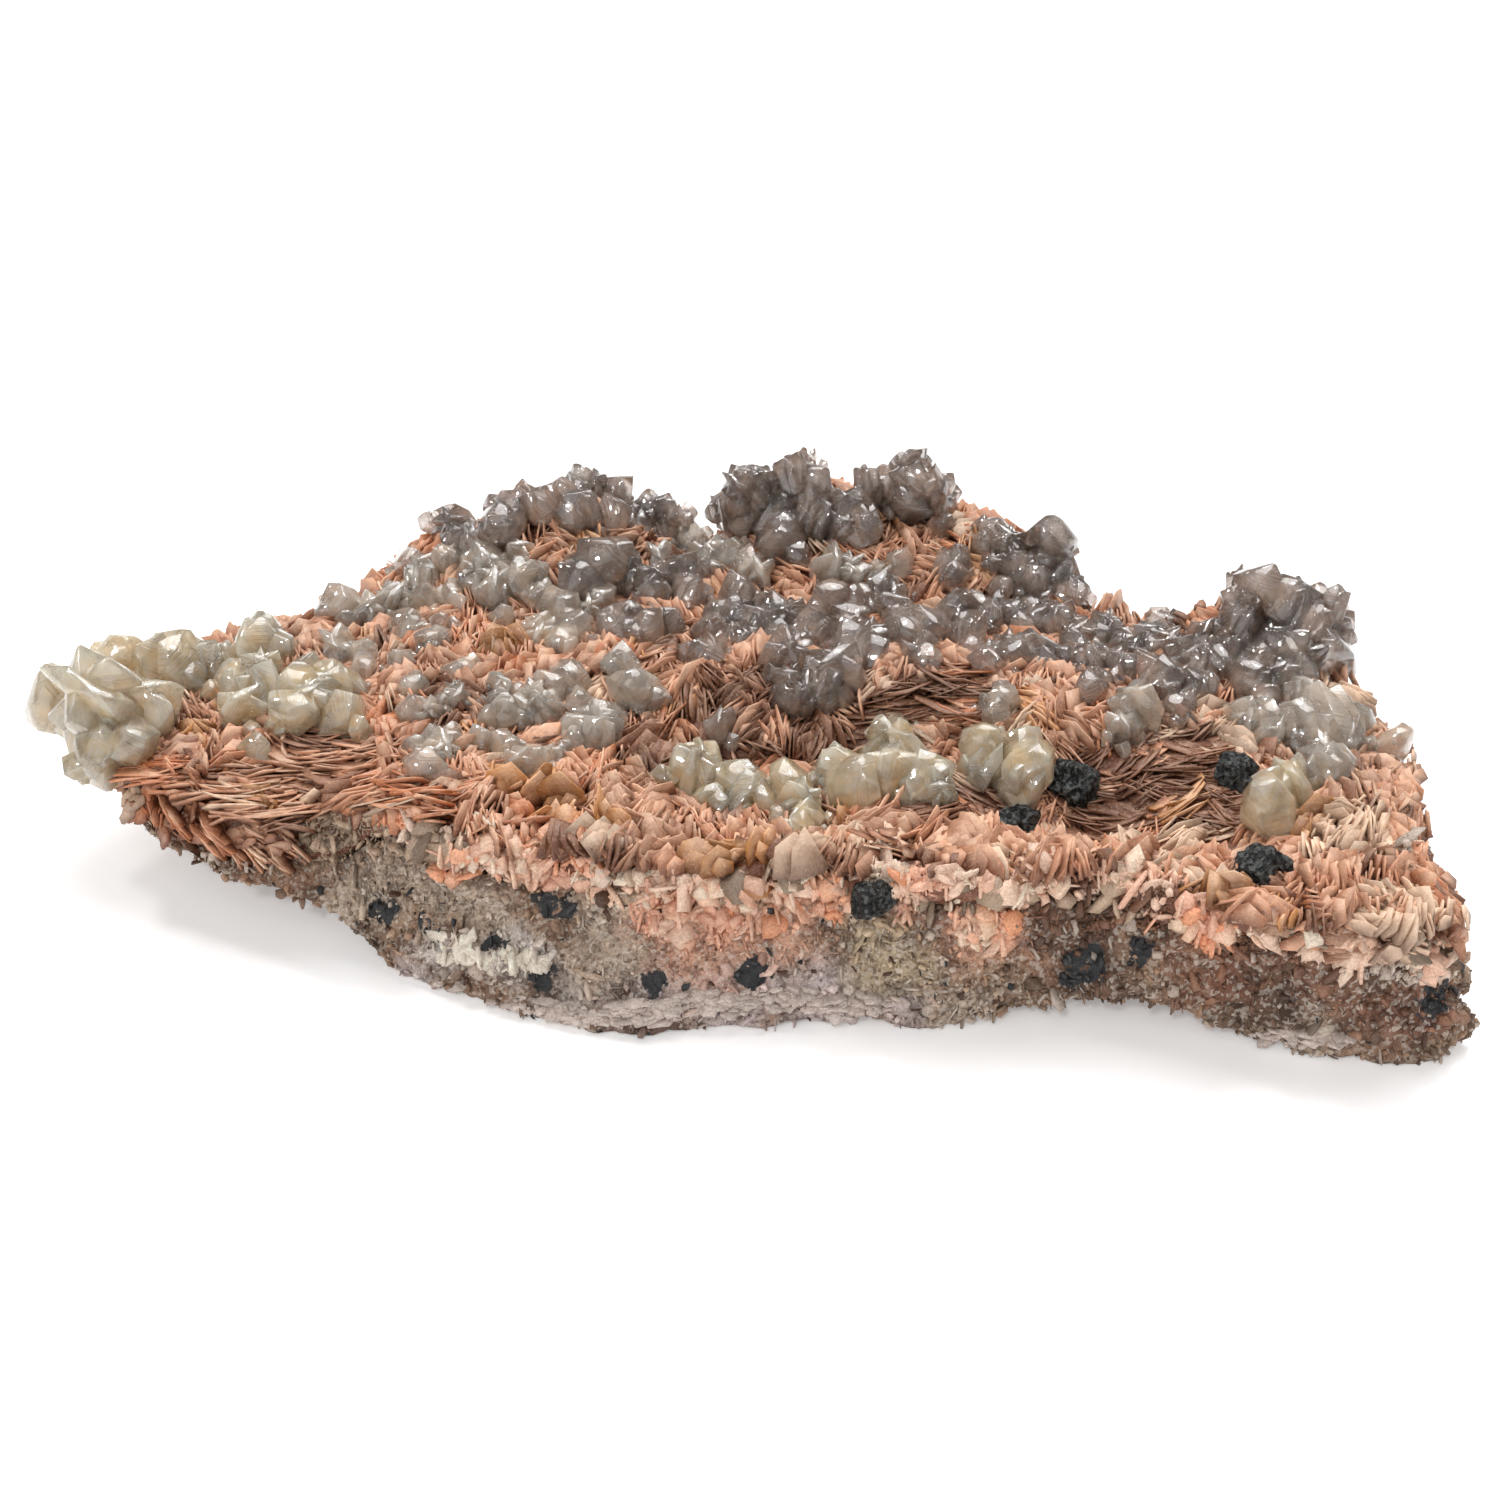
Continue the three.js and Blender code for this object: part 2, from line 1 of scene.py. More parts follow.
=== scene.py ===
# The looks of a cerussite and barite plate: broken rock, bladed barite, crystals and galena.
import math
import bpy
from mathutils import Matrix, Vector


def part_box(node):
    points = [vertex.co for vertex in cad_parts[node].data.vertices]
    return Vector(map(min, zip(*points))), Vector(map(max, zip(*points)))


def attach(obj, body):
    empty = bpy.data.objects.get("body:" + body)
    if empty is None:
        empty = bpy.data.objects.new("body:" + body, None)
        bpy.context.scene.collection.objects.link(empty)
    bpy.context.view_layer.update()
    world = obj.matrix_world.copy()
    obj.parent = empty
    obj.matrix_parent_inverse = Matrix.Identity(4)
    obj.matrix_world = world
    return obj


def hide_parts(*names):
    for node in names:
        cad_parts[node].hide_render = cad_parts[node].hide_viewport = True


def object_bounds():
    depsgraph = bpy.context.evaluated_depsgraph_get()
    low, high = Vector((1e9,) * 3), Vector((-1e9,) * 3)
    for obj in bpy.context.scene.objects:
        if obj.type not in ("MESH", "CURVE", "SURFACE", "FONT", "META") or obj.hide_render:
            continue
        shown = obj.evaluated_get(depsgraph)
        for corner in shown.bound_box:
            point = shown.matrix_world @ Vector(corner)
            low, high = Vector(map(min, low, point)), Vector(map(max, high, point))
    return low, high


bl_info = {
    "name": "Cerussite and Barite Plate",
    "version": (1, 0, 0),
    "blender": (4, 5, 0),
    "location": "3D View > Sidebar > Plate",
    "description": "Builds the rock, blades, crystals and galena of a mineral plate",
    "category": "Object",
}

from collections import namedtuple

import bpy
import numpy as np
from bpy.props import FloatProperty, FloatVectorProperty, IntProperty, PointerProperty
from mathutils import Vector
from mathutils.bvhtree import BVHTree

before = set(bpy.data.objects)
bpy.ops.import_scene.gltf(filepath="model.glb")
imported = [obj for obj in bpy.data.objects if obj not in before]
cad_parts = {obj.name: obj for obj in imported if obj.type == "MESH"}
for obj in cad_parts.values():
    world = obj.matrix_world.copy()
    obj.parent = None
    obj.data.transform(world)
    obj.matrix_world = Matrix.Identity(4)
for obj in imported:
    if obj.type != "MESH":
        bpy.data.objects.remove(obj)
CAD_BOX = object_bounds()

MM = 0.001  # the tables below are in millimetres

# The view that places are read in: a pinhole camera looking at the plate
VIEW_PIXELS = 1512
VIEW_FIELD = 36
VIEW_ELEVATION = 31
VIEW_DISTANCE = 450
VIEW_TARGET = np.array([0.0, 0.0, 25.0])

# The relief of the barite crust, as in the solids
CENTRE = np.array([0.0, 4.0])
TOP_LEVEL = 29
CRUST_THICKNESS = 7
LEFT_LOBE = {"from": -64, "to": -84, "lift": 11, "thicker": 5, "droop": 3}

# The crust's rim seen from above, anticlockwise from the left end
RIM = [
    (-123, 8), (-119, -4), (-109, -13), (-96, -20), (-84, -23), (-76, -24), (-65, -28), (-54, -37),
    (-44, -38), (-35, -39), (-24, -43), (-11, -42), (1, -46), (14, -43), (25, -49), (36, -52), (48, -51),
    (60, -49), (73, -54), (83, -57), (93, -60), (105, -62), (115, -62), (121, -56), (121, -45),
    (120, -30), (121, -14), (119, 0), (114, 12), (113, 26), (106, 39), (94, 42), (83, 42), (76, 47),
    (68, 53), (63, 62), (56, 72), (47, 79), (37, 83), (24, 85), (10, 85), (-4, 82), (-15, 79), (-27, 82),
    (-41, 83), (-57, 80), (-70, 76), (-79, 73), (-84, 61), (-92, 51), (-107, 46), (-118, 34), (-124, 20),
]

# Lumps and hollows of the crust: x, y, spread, rise
SURFACE_LUMPS = [
    (-30, -40, 13, 2), (0, -46, 13, 2.5), (30, -48, 12, 3), (55, -50, 13, 5), (-62, -24, 12, 3),
    (-8, -34, 11, -6), (-34, -28, 12, -4), (22, -36, 10, -3), (58, -28, 17, -7), (84, -36, 9, -3),
    (-6, -8, 13, -7), (18, -8, 11, -5), (2, 14, 17, 6), (34, 14, 17, 6), (64, 8, 18, 5),
    (-28, 26, 14, 4), (14, 81, 19, 14), (48, 68, 16, 10), (-40, 74, 18, 12), (-64, 76, 14, 6),
    (38, 84, 10, 5), (-14, 78, 9, -5), (14, 40, 10, -2), (-88, 12, 18, 4), (-56, 12, 14, 2),
    (104, 33, 15, 10), (104, -52, 14, 2), (108, -26, 12, 4), (-96, 34, 12, 3),
]

# Cerussite crystals: across and down in the view, radius, and a lift off the crust
CERUSSITE = {
    "cerussite_honey_left_end": [
        (57, 698, 5.8, 3), (110, 708, 9.2, 3), (143, 722, 6), (102, 748, 6, -3), (102, 768, 4.2, -5),
        (120, 657, 4.8, 6), (173, 662, 6.6, 2), (204, 667, 5), (258, 654, 5.6), (278, 650, 4.4),
        (84, 672, 3, 3),
    ],
    "cerussite_honey_left": [
        (240, 688, 5.6), (263, 675, 4.2, 2), (245, 710, 5), (301, 690, 5.2, 1), (329, 682, 4.8),
        (342, 716, 5.2), (293, 713, 5.2, 1), (255, 752, 3.4),
    ],
    "cerussite_pale_upper_left": [
        (342, 606, 5, 1), (371, 612, 4.2), (393, 603, 4), (425, 599, 3.6), (338, 648, 4),
        (361, 655, 3.6),
    ],
    "cerussite_smoky_back_left": [
        (435, 523, 4), (460, 526, 4.4), (502, 526, 5.8, 2), (514, 508, 4.4, 3), (476, 545, 3.8),
        (541, 507, 4.2, 2), (567, 499, 3.8, 3), (584, 479, 3.2, 6), (590, 495, 3.4, 4),
        (618, 495, 3.8, 3), (573, 518, 4.4), (611, 520, 4.4), (647, 510, 3.4, 1), (640, 525, 3.8),
        (668, 528, 3.4), (685, 514, 3, 1),
    ],
    "cerussite_pale_back_slope": [
        (412, 567, 4), (419, 583, 3.6), (473, 583, 3.8), (486, 565, 4.4), (495, 593, 4.6),
        (527, 580, 4.4), (556, 603, 4), (502, 618, 3.4), (572, 631, 4.8),
    ],
    "cerussite_smoky_band": [
        (602, 562, 6.4, 3), (627, 566, 4.4), (580, 587, 4.6), (682, 577, 4.4), (694, 596, 4),
        (650, 593, 4), (736, 596, 4.4, 1), (615, 628, 5), (647, 631, 5), (669, 626, 4.2),
        (707, 658, 4.8, -1), (778, 612, 4.4), (829, 600, 4.8, 1), (809, 636, 5.4, 1), (781, 660, 5),
        (838, 673, 6.4), (857, 655, 4.6), (822, 692, 4.8, -1), (787, 699, 4.8, -2), (873, 642, 4.2),
        (880, 593, 4.4), (905, 636, 5.4), (927, 629, 5, 1), (966, 606, 4.4, 1), (969, 635, 5),
        (950, 619, 4.2), (988, 619, 4.2), (1013, 615, 3.8), (1010, 650, 4.2), (1036, 657, 4.8),
        (1039, 622, 3.8), (1061, 625, 4.2), (1080, 638, 3.8), (1065, 660, 3.6), (1093, 663, 4),
        (1106, 628, 4), (1128, 644, 3.8), (927, 660, 3.6),
    ],
    "cerussite_smoky_back": [
        (742, 487, 4, 11), (762, 482, 3.4, 9), (793, 476, 4.6, 7), (816, 479, 3.6, 7), (717, 510, 3.2),
        (746, 513, 5.6, 2), (784, 504, 4.4, 2), (781, 541, 5.8), (809, 516, 4.8), (857, 504, 4.4, 2),
        (860, 526, 5.4), (838, 526, 4), (867, 483, 3.2, 6), (889, 480, 2.8, 6), (915, 464, 3.2, 11),
        (915, 484, 4.4, 7), (937, 489, 4.2, 6), (908, 502, 4.2, 2), (942, 527, 3.6),
    ],
    "cerussite_smoky_back_right": [
        (956, 560, 4), (953, 577, 4), (994, 534, 4, 1), (1004, 549, 4), (1050, 541, 5.2, 5),
        (1017, 568, 4.8), (1042, 568, 4.4), (1065, 577, 4), (1068, 593, 3.6), (1029, 583, 4.4),
    ],
    "cerussite_pale_middle": [(829, 568, 4.4), (854, 577, 3.6), (733, 558, 4.6)],
    "cerussite_smoky_right": [
        (1262, 587, 4.6, 6), (1237, 602, 3.6, 4), (1288, 603, 5.2, 4), (1317, 600, 3.8, 4),
        (1336, 603, 3.2, 5), (1303, 626, 5.6, 2), (1337, 625, 3.8, 2), (1288, 649, 5.4),
        (1326, 655, 4.8), (1245, 626, 4.8, 1), (1205, 634, 3.8), (1159, 620, 3.8), (1150, 641, 3.6),
        (1234, 643, 4), (1248, 678, 4.8), (1285, 681, 4), (1145, 670, 4.6), (1173, 684, 4),
        (1199, 689, 4), (1205, 658, 3.6),
    ],
    "cerussite_pale_right": [
        (1139, 712, 4.8), (1325, 724, 6.4, 2), (1323, 753, 4.8), (1334, 773, 4.4), (1354, 720, 3.8, 1),
        (1268, 724, 4),
    ],
    "cerussite_pale_right_edge": [(1394, 745, 3.8, 1)],
    "cerussite_honey_front_right": [(1268, 806, 6.2, 2), (1294, 786, 4.6, 1)],
    "cerussite_honey_front_row": [
        (691, 778, 4.8, 1), (704, 762, 3.8, 2), (736, 783, 4.8, 1), (790, 784, 4.6, 1), (806, 810, 3.4),
        (854, 786, 5.6, 1), (892, 776, 5.2, 1), (927, 778, 4.4, 1), (829, 776, 3.8), (905, 745, 4.2, 1),
        (886, 735, 3.8, 1),
    ],
    "cerussite_honey_front_pair": [(982, 745, 4.6, 2), (1029, 768, 5.8, 2), (1017, 790, 3.8)],
    "cerussite_pale_centre": [
        (570, 680, 4.6), (634, 688, 5.2, 1), (605, 725, 4.2), (589, 719, 3.6), (529, 706, 4.2),
        (548, 712, 3.6),
    ],
    "cerussite_pale_front_left": [(436, 756, 3.6), (427, 771, 3.8)],
    "cerussite_smoky_hollow": [(720, 727, 3.8, 1)],
    "cerussite_pale_hollow": [(1002, 700, 3.8, 1), (998, 717, 3.6)],
}

# Small crystals without a solid of their own, added to a group: across, down, radius, lift
SMALL_CERUSSITE = {
    "cerussite_pale_centre": [
        (412, 712, 3.2), (402, 664, 3.4), (455, 700, 2.8), (484, 742, 3.2), (520, 765, 3.6),
        (548, 760, 2.8), (500, 690, 3), (505, 716, 3.4), (618, 668, 3.4), (655, 700, 3), (575, 742, 2.8),
        (470, 668, 2.6),
    ],
    "cerussite_pale_front_left": [(450, 742, 2.6), (415, 748, 3)],
    "cerussite_pale_upper_left": [(440, 640, 3.2), (410, 630, 3), (360, 690, 2.4), (455, 606, 3)],
    "cerussite_pale_back_slope": [(540, 640, 3.4), (450, 560, 3.4), (520, 555, 3.6), (600, 600, 3.8)],
    "cerussite_pale_middle": [
        (700, 560, 4), (690, 540, 3.8), (760, 575, 3.6), (660, 560, 3.6), (900, 565, 3.6),
    ],
    "cerussite_smoky_band": [
        (740, 640, 4), (760, 630, 4.2), (720, 615, 4.2), (850, 625, 4.2), (1000, 590, 3.8),
        (990, 665, 4), (1120, 670, 3.8), (1090, 690, 3.4), (900, 610, 4),
    ],
    "cerussite_smoky_right": [
        (1220, 665, 4), (1265, 655, 4.2), (1180, 655, 3.8), (1300, 670, 4), (1175, 710, 3.4),
        (1265, 700, 3.6),
    ],
    "cerussite_pale_right": [
        (1240, 715, 3.4), (1300, 740, 4), (1345, 745, 3.8), (1300, 700, 3.8), (1120, 730, 3.4),
    ],
    "cerussite_honey_front_row": [(720, 805, 2.8), (766, 800, 3.2), (795, 835, 3, -1), (940, 795, 3)],
}


# Colour and number helpers


def shade(red, green, blue):
    """A colour as seen on a screen, from 0 to 255, as the linear colour that a material takes."""
    return tuple(((v / 255 + 0.055) / 1.055) ** 2.4 if v > 10 else v / 3295 for v in (red, green, blue))


def ease(low, high, value):
    t = np.clip((np.asarray(value, float) - low) / (high - low), 0, 1)
    return t * t * (3 - 2 * t)


def unit(vectors):
    length = np.linalg.norm(vectors, axis=-1, keepdims=True)
    return vectors / np.maximum(length, 1e-9)


# The lie of the crust


def left_share(x):
    return ease(LEFT_LOBE["from"], LEFT_LOBE["to"], x)


def surface(x, y):
    """Height of the crust's top, without its blades, in millimetres."""
    height = TOP_LEVEL - LEFT_LOBE["droop"] * left_share(x)
    for cx, cy, spread, rise in SURFACE_LUMPS:
        height = height + rise * np.exp(-((x - cx) ** 2 + (y - cy) ** 2) / spread**2)
    return height


def surface_normal(x, y):
    step = 1.5
    east = (surface(x + step, y) - surface(x - step, y)) / (2 * step)
    north = (surface(x, y + step) - surface(x, y - step)) / (2 * step)
    return unit(np.stack([-east, -north, np.ones_like(east)], -1))


def view_ray(across, down):
    """The eye, and the direction from it through a place of the view."""
    tilt = math.radians(VIEW_ELEVATION)
    focal = VIEW_PIXELS / 2 / math.tan(math.radians(VIEW_FIELD / 2))
    back = np.array([0, -math.cos(tilt), math.sin(tilt)])
    up = np.array([0, math.sin(tilt), math.cos(tilt)])
    right = np.array([1.0, 0, 0])
    way = right * (across - VIEW_PIXELS / 2) / focal + up * (VIEW_PIXELS / 2 - down) / focal - back
    return VIEW_TARGET + back * VIEW_DISTANCE, way


def seen_at(points):
    """Where the view shows points: across and down."""
    eye, ahead = view_ray(VIEW_PIXELS / 2, VIEW_PIXELS / 2)
    up = np.array([0, -ahead[2], ahead[1]])
    focal = VIEW_PIXELS / 2 / math.tan(math.radians(VIEW_FIELD / 2))
    scale = focal / ((points - eye) @ ahead)
    return VIEW_PIXELS / 2 + scale * (points - eye)[:, 0], VIEW_PIXELS / 2 - scale * ((points - eye) @ up)


def under_view(across, down, height):
    eye, way = view_ray(across, down)
    return eye + way * (height - eye[2]) / way[2]


def seat_of(row, sunk=0.45):
    """Where a lump sits on the crust so that the view shows it at its row's place."""
    across, down, radius, lift = (*row, 0)[:4]
    height = TOP_LEVEL
    for _ in range(12):
        place = under_view(across, down, height)
        height += (surface(place[0], place[1]) + radius * sunk + lift - height) * 0.7
    return np.array([place[0], place[1], height])


def seat_on_plate(row, crust):
    """A seat that doesn't lie past the crust's back edge: nearer to the eye and higher where it would."""
    seat = seat_of(row)
    if seat[1] < BACK_FROM:
        return seat
    eye = view_ray(row[0], row[1])[0]
    for _ in range(60):
        if crust.ray_cast(Vector((seat[0], seat[1] - 2.5, 1000)) * MM, Vector((0, 0, -1)))[0] is not None:
            break
        seat = seat + unit(eye - seat)
    return seat


def trees_of(*nodes):
    """Search trees over the solids, in metres."""
    meshes = [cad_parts[n].data for n in nodes]
    return [
        BVHTree.FromPolygons([v.co for v in m.vertices], [p.vertices for p in m.polygons])
        for m in meshes
    ]


def spot(across, down, trees):
    """The nearest point of the solids that the view shows at a place, in millimetres."""
    eye, way = view_ray(across, down)
    hits = [tree.ray_cast(Vector(eye * MM), Vector(way).normalized()) for tree in trees]
    found = [hit for hit in hits if hit[0] is not None]
    if not found:
        raise ValueError(f"the view shows nothing at {across}, {down}")
    return np.array(min(found, key=lambda hit: hit[3])[0]) / MM


# Meshes


def only(piece):
    """Selects one object and nothing else."""
    if bpy.context.object and bpy.context.object.mode != "OBJECT":
        bpy.ops.object.mode_set(mode="OBJECT")
    bpy.ops.object.select_all(action="DESELECT")
    piece.select_set(True)
    bpy.context.view_layer.objects.active = piece


def points_of(piece):
    points = np.empty(len(piece.data.vertices) * 3, np.float32)
    piece.data.vertices.foreach_get("co", points)
    return points.reshape(-1, 3).astype(float)


def set_points(piece, points):
    piece.data.vertices.foreach_set("co", points.astype(np.float32).ravel())
    piece.data.update()


def tint(piece, colours):
    """Stores a colour for each point of a piece."""
    layer = piece.data.attributes.new("Tint", "FLOAT_COLOR", "POINT")
    full = np.ones((len(colours), 4), np.float32)
    full[:, :3] = colours
    layer.data.foreach_set("color", full.ravel())


def mark(piece, values, name):
    """Stores a number for each point of a piece."""
    layer = piece.data.attributes.new(name, "FLOAT", "POINT")
    layer.data.foreach_set("value", np.asarray(values, np.float32).ravel())


def place_mark(piece, vectors, name):
    """Stores a vector for each point of a piece."""
    layer = piece.data.attributes.new(name, "FLOAT_VECTOR", "POINT")
    layer.data.foreach_set("vector", np.asarray(vectors, np.float32).ravel())


class Pattern:
    """A small shape modelled once, with its points and faces, to be copied many times."""

    def __init__(self, piece):
        only(piece)
        self.points = points_of(piece)
        self.sizes = np.array([len(p.vertices) for p in piece.data.polygons])
        self.corners = np.concatenate([list(p.vertices) for p in piece.data.polygons])
        bpy.ops.object.delete()


def copies(name, batches):
    """One mesh from batches of (pattern, points of each copy in millimetres)."""
    points, corners, sizes, first = [], [], [], 0
    for pattern, placed in batches:
        count, each = placed.shape[:2]
        points.append(placed.reshape(-1, 3))
        starts = first + np.arange(count) * each
        corners.append((starts[:, None] + pattern.corners[None]).ravel())
        sizes.append(np.tile(pattern.sizes, count))
        first += count * each
    points, corners, sizes = np.concatenate(points), np.concatenate(corners), np.concatenate(sizes)
    mesh = bpy.data.meshes.new(name)
    mesh.vertices.add(len(points))
    mesh.vertices.foreach_set("co", (points * MM).astype(np.float32).ravel())
    mesh.loops.add(len(corners))
    mesh.loops.foreach_set("vertex_index", corners.astype(np.int32))
    mesh.polygons.add(len(sizes))
    mesh.polygons.foreach_set("loop_start", np.concatenate([[0], np.cumsum(sizes)[:-1]]).astype(np.int32))
    mesh.update(calc_edges=True)
    mesh.validate()
    piece = bpy.data.objects.new(name, mesh)
    bpy.context.scene.collection.objects.link(piece)
    return piece


def solid_copy(node, name):
    """A copy of one of the plate's solids, its loose triangles merged."""
    mesh = bpy.data.meshes.new(name)
    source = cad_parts[node].data
    mesh.from_pydata([v.co[:] for v in source.vertices], [], [p.vertices[:] for p in source.polygons])
    piece = bpy.data.objects.new(name, mesh)
    bpy.context.scene.collection.objects.link(piece)
    only(piece)
    bpy.ops.object.mode_set(mode="EDIT")
    bpy.ops.mesh.select_all(action="SELECT")
    bpy.ops.mesh.remove_doubles(threshold=0.01 * MM)
    bpy.ops.object.mode_set(mode="OBJECT")
    return piece


def remesh(piece, size):
    """Covers a piece with an even mesh of one closed skin; size is in millimetres."""
    only(piece)
    skin = piece.modifiers.new("Skin", "REMESH")
    skin.mode = "VOXEL"
    skin.voxel_size = size * MM
    bpy.ops.object.modifier_apply(modifier=skin.name)


def roughen(piece, kind, size, strength, **settings):
    """Pushes the points of a piece in and out by a texture, and keeps the result."""
    texture = bpy.data.textures.new(f"{piece.name} {kind.lower()}", kind)
    texture.noise_scale = size * MM
    for key, value in settings.items():
        setattr(texture, key, value)
    only(piece)
    push = piece.modifiers.new("Roughen", "DISPLACE")
    push.texture = texture
    push.texture_coords = "LOCAL"
    push.strength = strength * MM
    bpy.ops.object.modifier_apply(modifier=push.name)


def finish_piece(piece, material, slot, *nodes):
    piece.data.materials.clear()
    piece.data.materials.append(material)
    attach(piece, "root")
    if nodes:
        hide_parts(*nodes)


# Shader maths


class Value:
    """A socket of a material that takes part in Python sums, each of which adds a Math node."""

    def __init__(self, finish, socket):
        self.finish = finish
        self.socket = socket

    def worked(self, operation, *values):
        return self.finish.node("ShaderNodeMath", {"operation": operation}, dict(enumerate(values)))

    def __add__(self, other):
        return self.worked("ADD", self, other)

    def __sub__(self, other):
        return self.worked("SUBTRACT", self, other)

    def __rsub__(self, other):
        return self.worked("SUBTRACT", other, self)

    def __mul__(self, other):
        return self.worked("MULTIPLY", self, other)

    def spread(self, low, high, to_low=0.0, to_high=1.0):
        """The value stretched from low..high to another range, smoothly and clamped."""
        inputs = {"Value": self, "From Min": low, "From Max": high, "To Min": to_low, "To Max": to_high}
        smooth = {"interpolation_type": "SMOOTHSTEP"}
        return self.finish.node("ShaderNodeMapRange", smooth, inputs, "Result")

    __radd__ = __add__
    __rmul__ = __mul__


class Finish:
    """A material and the nodes that it is made of."""

    def __init__(self, name):
        self.material = bpy.data.materials.new(name)
        self.material.use_nodes = True
        self.tree = self.material.node_tree
        self.tree.nodes.clear()
        self.place = self.node("ShaderNodeTexCoord", {}, {}, "Object")

    def node(self, kind, settings, inputs, output=0):
        """Adds a node, sets it up, fills its inputs with numbers or links, and gives one of its outputs."""
        node = self.tree.nodes.new(kind)
        for key, value in settings.items():
            setattr(node, key, value)
        for key, value in inputs.items():
            socket = node.inputs[key]
            if isinstance(value, Value):
                self.tree.links.new(value.socket, socket)
            else:
                socket.default_value = value
        return Value(self, node.outputs[output]) if node.outputs else None

    def noise(self, scale, detail, roughness):
        """Cloudy noise from 0 to 1; scale is in cells a metre."""
        inputs = {"Vector": self.place, "Scale": scale, "Detail": detail, "Roughness": roughness}
        return self.node("ShaderNodeTexNoise", {}, inputs, "Fac")

    def cells(self, scale, output="Distance"):
        """Random cells; scale is in cells a metre."""
        return self.node("ShaderNodeTexVoronoi", {}, {"Vector": self.place, "Scale": scale}, output)

    def stored(self, name, output="Color"):
        return self.node("ShaderNodeAttribute", {"attribute_name": name}, {}, output)

    def mixed(self, share, first, second, blend="MIX"):
        """A colour between two colours, or one blended over the other."""
        full = [(*c, 1) if isinstance(c, tuple) and len(c) == 3 else c for c in (first, second)]
        inputs = {0: share, 6: full[0], 7: full[1]}
        return self.node("ShaderNodeMix", {"data_type": "RGBA", "blend_type": blend}, inputs, 2)

    def bump(self, height, depth, strength=1.0):
        """A bump whose height value of 1 stands for depth millimetres."""
        inputs = {"Height": height, "Distance": depth * MM, "Strength": strength}
        return self.node("ShaderNodeBump", {}, inputs, "Normal")

    def principled(self, **inputs):
        named = {
            key.replace("_", " ").title().replace("Ior", "IOR"): value
            for key, value in inputs.items()
        }
        return self.node("ShaderNodeBsdfPrincipled", {}, named, "BSDF")

    def done(self, shader):
        self.node("ShaderNodeOutputMaterial", {}, {"Surface": shader})
        return self.material


# Settings


def colour_setting(name, description, *screen):
    """A colour to be set, its default given as it looks on a screen."""
    return FloatVectorProperty(
        name=name, description=description, subtype="COLOR", default=shade(*screen), min=0, max=1)


class StageSettings(bpy.types.PropertyGroup):
    floor_colour: colour_setting("Floor", "Colour of the floor", 250, 250, 250)
    floor_glow: FloatProperty(
        name="Floor glow", description="Light of the floor itself, to pale the shadow", default=0.22,
        min=0)
    key_strength: FloatProperty(
        name="Key light", description="Strength of the broad light from behind", default=2.35, min=0)
    fill_strength: FloatProperty(
        name="Fill light", description="Strength of the soft light from the front", default=0.8, min=0)
    spark_strength: FloatProperty(
        name="Spark light", description="Strength of each light that glints on facets", default=0.65, min=0)
    sky_strength: FloatProperty(
        name="Sky", description="Strength of the even light from all round", default=0.28, min=0)


class RockSettings(bpy.types.PropertyGroup):
    brown: colour_setting("Brown", "Ground colour of the rock", 166, 136, 112)
    umber: colour_setting("Umber", "Dark brown in the pits", 88, 62, 48)
    white: colour_setting("White", "White and cream grains", 226, 216, 204)
    grain_count: IntProperty(
        name="Grains", description="Number of grains on the broken sides", default=10500, min=0)
    seed: IntProperty(name="Seed", description="Another scatter of the grains", default=5, min=0)
    chip_depth: FloatProperty(
        name="Chip depth", description="Depth of the largest chips", unit="LENGTH", default=2.4 * MM, min=0)


class BariteSettings(bpy.types.PropertyGroup):
    blade_thickness: FloatProperty(
        name="Blade thickness", description="Thickness of one blade", unit="LENGTH", default=0.6 * MM,
        min=0)
    fan_spacing: FloatProperty(
        name="Fan spacing", description="Distance between neighbouring fans", unit="LENGTH",
        default=5.0 * MM, min=1 * MM)
    pink: colour_setting("Pink", "Main colour of the blades", 200, 137, 102)
    salmon: colour_setting("Salmon", "Warmer colour of some fans", 202, 119, 70)
    ochre: colour_setting("Ochre", "Iron-stained blades", 200, 132, 62)
    mauve: colour_setting("Mauve", "Brownish blades in the hollows", 132, 85, 60)
    # the rim colour is also mixed into the upper part of each blade: partly the blades' pale crests, partly
    # a painted highlight
    rim: colour_setting("Rim", "Pale crests of the blades", 246, 212, 182)
    seed: IntProperty(name="Seed", description="Another growth of the blades", default=7, min=0)


class CerussiteSettings(bpy.types.PropertyGroup):
    honey: colour_setting("Honey", "Colour of the milky yellowish crystals", 255, 224, 174)
    pale: colour_setting("Pale", "Colour of the nearly colourless crystals", 252, 224, 194)
    smoky: colour_setting("Smoky", "Colour of the grey crystals", 226, 192, 168)
    refraction: FloatProperty(
        name="Refraction", description="Index of refraction of the crystals", default=1.5, min=1, max=2.2)
    seed: IntProperty(name="Seed", description="Another growth of the small crystals", default=11, min=0)


class GalenaSettings(bpy.types.PropertyGroup):
    grey: colour_setting("Grey", "Colour of the galena", 112, 114, 112)


class PlateSettings(bpy.types.PropertyGroup):
    stage: PointerProperty(type=StageSettings)
    rock: PointerProperty(type=RockSettings)
    barite: PointerProperty(type=BariteSettings)
    cerussite: PointerProperty(type=CerussiteSettings)
    galena: PointerProperty(type=GalenaSettings)


# Rock

